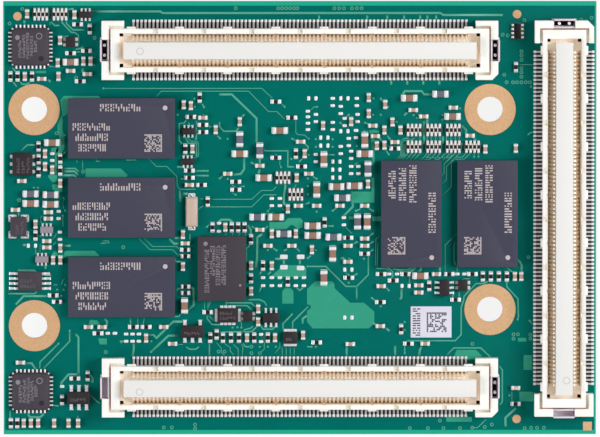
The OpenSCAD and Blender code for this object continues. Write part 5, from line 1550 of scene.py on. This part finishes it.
class MODULE_OT_chip_parts(ModuleOperator, bpy.types.Operator):
    """Chip capacitors, resistors, beads and networks, with their metal ends and solder"""

    bl_idname = "module.chip_parts"
    bl_label = "Chip parts"

    def make(self, scene):
        look = scene.module_part
        by = look.round_by
        alumina = grained("alumina", tuple(look.alumina), 0.08 * MM, 0.08, 0.6)
        glaze = grained("resistor_glaze", tuple(look.resistor), 0.15 * MM, 0.3, 0.4)
        brown = grained("capacitor_ceramic", tuple(look.capacitor), 0.12 * MM, 0.14, 0.6)
        dark = grained("large_capacitor_ceramic", tuple(look.large), 0.15 * MM, 0.14, 0.6)
        grey = grained("bead_ceramic", tuple(look.bead), 0.12 * MM, 0.14, 0.55)
        for bodies, ends, finishes, slot, run in (
            ("small_capacitors", "small_capacitor_ends", [brown, alumina], "capacitor_brown", SMALL_RUN),
            ("large_capacitors", "large_capacitor_ends", [dark], "capacitor_brown", 0.16 * MM),
            ("resistors", "resistor_ends", [glaze, alumina], "resistor_black", 0.14 * MM),
            ("beads", "bead_ends", [grey], "bead_grey", 0.14 * MM),
            ("resistor_networks", "network_ends", [glaze, alumina], "resistor_black", SMALL_RUN),
        ):
            shape = rounded(bodies, by * 0.6)
            paint_near(shape, PALE_CAPACITORS, 0.6 * MM)
            if slot == "resistor_black":
                paint_sides(shape)
            keep(bodies + "_bodies", shape, finishes, slot, bodies)
            keep(ends + "_metal", ends_of(ends, bodies, run, by), [solder()], "tin", ends)
        self.network_tops(alumina)
        self.lone_capacitor(brown, by)

    def lone_capacitor(self, brown, by):
        """Capacitor that no solid stands for: its sizes are those of one that lies as it does."""
        low, high = next(
            (low, high) for low, high in corner_boxes("small_capacitors")
            if low.z > REAR and high.x - low.x > high.y - low.y
        )
        middle = (low + high) / 2
        move = at(*LONE_CAPACITOR) - Vector((middle.x, middle.y, 0))
        body = box_shape(low + move, high + move, by * 0.6)
        keep("lone_capacitor_body", body, [brown], "capacitor_brown")
        ends = bmesh.new()
        boxes = sorted(
            corner_boxes("small_capacitor_ends"), key=lambda b: ((b[0] + b[1]) / 2 - middle).length_squared
        )
        for low, high in boxes[:2]:
            extent = high - low
            way = EAST if low.x > middle.x else WEST
            foot = Vector(((low.x + high.x) / 2, (low.y + high.y) / 2, low.z)) + move
            mesh = template(metal_end(extent.x, extent.y, extent.z, SMALL_RUN, by))
            stamp(ends, mesh, Matrix.Translation(foot) @ turned(way))
        keep("lone_capacitor_ends", ends, [solder()], "tin")

    def network_tops(self, alumina):
        """Metal of the networks' ends on top of their bodies, and the bare seams between their resistors."""
        bodies = corner_boxes("resistor_networks")
        plain = at(*PLAIN_NETWORK)
        wraps = bmesh.new()
        for low, high in corner_boxes("network_ends"):
            if (low - plain).xy.length < 1.8 * MM:
                continue
            way = out_of((low, high), bodies)
            side = UP.cross(way)
            extent = high - low
            edge = (low + high) / 2 - way * abs(extent.dot(way)) / 2
            reach = side * (abs(extent.dot(side)) * 0.46)
            dash(wraps, edge - way * 0.22 * MM - reach, edge + reach, bodies[0][1].z, 0.012 * MM)
        keep("network_wraps", wraps, [solder()], "tin")
        seams = bmesh.new()
        for low, high in bodies:
            middle = (low + high) / 2
            if (middle - plain).xy.length < 1 * MM:
                continue
            extent = high - low
            along, across = lengthways(low, high)
            pitch = extent.dot(along) / 4
            reach = along * 0.06 * MM + across * (extent.dot(across) / 2 - 0.05 * MM)
            for place in (-1, 0, 1):
                spot = middle + along * (place * pitch)
                dash(seams, spot - reach, spot + reach, high.z, 0.008 * MM)
        keep("network_seams", seams, [alumina], "resistor_black")


class MODULE_OT_processor_side(ModuleOperator, bpy.types.Operator):
    """Processor with its lid, inductors and their terminals on the side away from the connectors"""

    bl_idname = "module.processor_side"
    bl_label = "Processor side"

    def make(self, scene):
        look = scene.module_package
        green = grained("substrate_laminate", tuple(look.substrate), 0.2 * MM, 0.15, 0.45)
        ferrite = grained("ferrite_core", tuple(look.ferrite), 0.12 * MM, 0.3, 0.7, 0, 0.3, 0.02 * MM)
        base = rounded("processor_substrate", 0.05 * MM)
        keep("substrate", base, [green], "substrate_green", "processor_substrate")
        lid = rounded("processor_lid", 0.25 * MM, 3)
        keep("lid", lid, [lid_finish(look.lid)], "lid_metal", "processor_lid")
        keep("cores", rounded("inductors", 0.2 * MM, 3), [ferrite], "ferrite", "inductors")
        terminals = ends_of("inductor_terminals", "inductors", 0.2 * MM, 0.04 * MM)
        keep("core_terminals", terminals, [solder()], "tin", "inductor_terminals")
        finish_node("processor_balls", solder())


OPERATORS = (
    MODULE_OT_stage, MODULE_OT_board, MODULE_OT_copper, MODULE_OT_connectors, MODULE_OT_memories,
    MODULE_OT_chips, MODULE_OT_chip_parts, MODULE_OT_processor_side,
)
LOOKS = {
    "module_board": BoardLook, "module_connector": ConnectorLook, "module_package": PackageLook,
    "module_part": PartLook, "module_stage": StageLook,
}


class MODULE_PT_panel(bpy.types.Panel):
    """Lists the module's pieces and their looks"""

    bl_label = "System on module"
    bl_idname = "MODULE_PT_panel"
    bl_space_type = "VIEW_3D"
    bl_region_type = "UI"
    bl_category = "Module"

    def draw(self, context):
        for operator in OPERATORS:
            self.layout.operator(operator.bl_idname)
        for name in LOOKS:
            look = getattr(context.scene, name)
            box = self.layout.box()
            for key in look.__annotations__:
                box.prop(look, key)


def register():
    """Makes the looks, operators and panel known."""
    for look in LOOKS.values():
        bpy.utils.register_class(look)
    for operator in OPERATORS:
        bpy.utils.register_class(operator)
    bpy.utils.register_class(MODULE_PT_panel)
    for name, look in LOOKS.items():
        setattr(bpy.types.Scene, name, PointerProperty(type=look))


def unregister():
    """Takes them away again."""
    for name in LOOKS:
        delattr(bpy.types.Scene, name)
    for kind in (MODULE_PT_panel, *reversed(OPERATORS), *reversed(LOOKS.values())):
        bpy.utils.unregister_class(kind)


def main():
    """Makes every piece."""
    register()
    for operator in OPERATORS:
        group, name = operator.bl_idname.split(".")
        getattr(getattr(bpy.ops, group), name)()


if __name__ == "__main__":
    main()
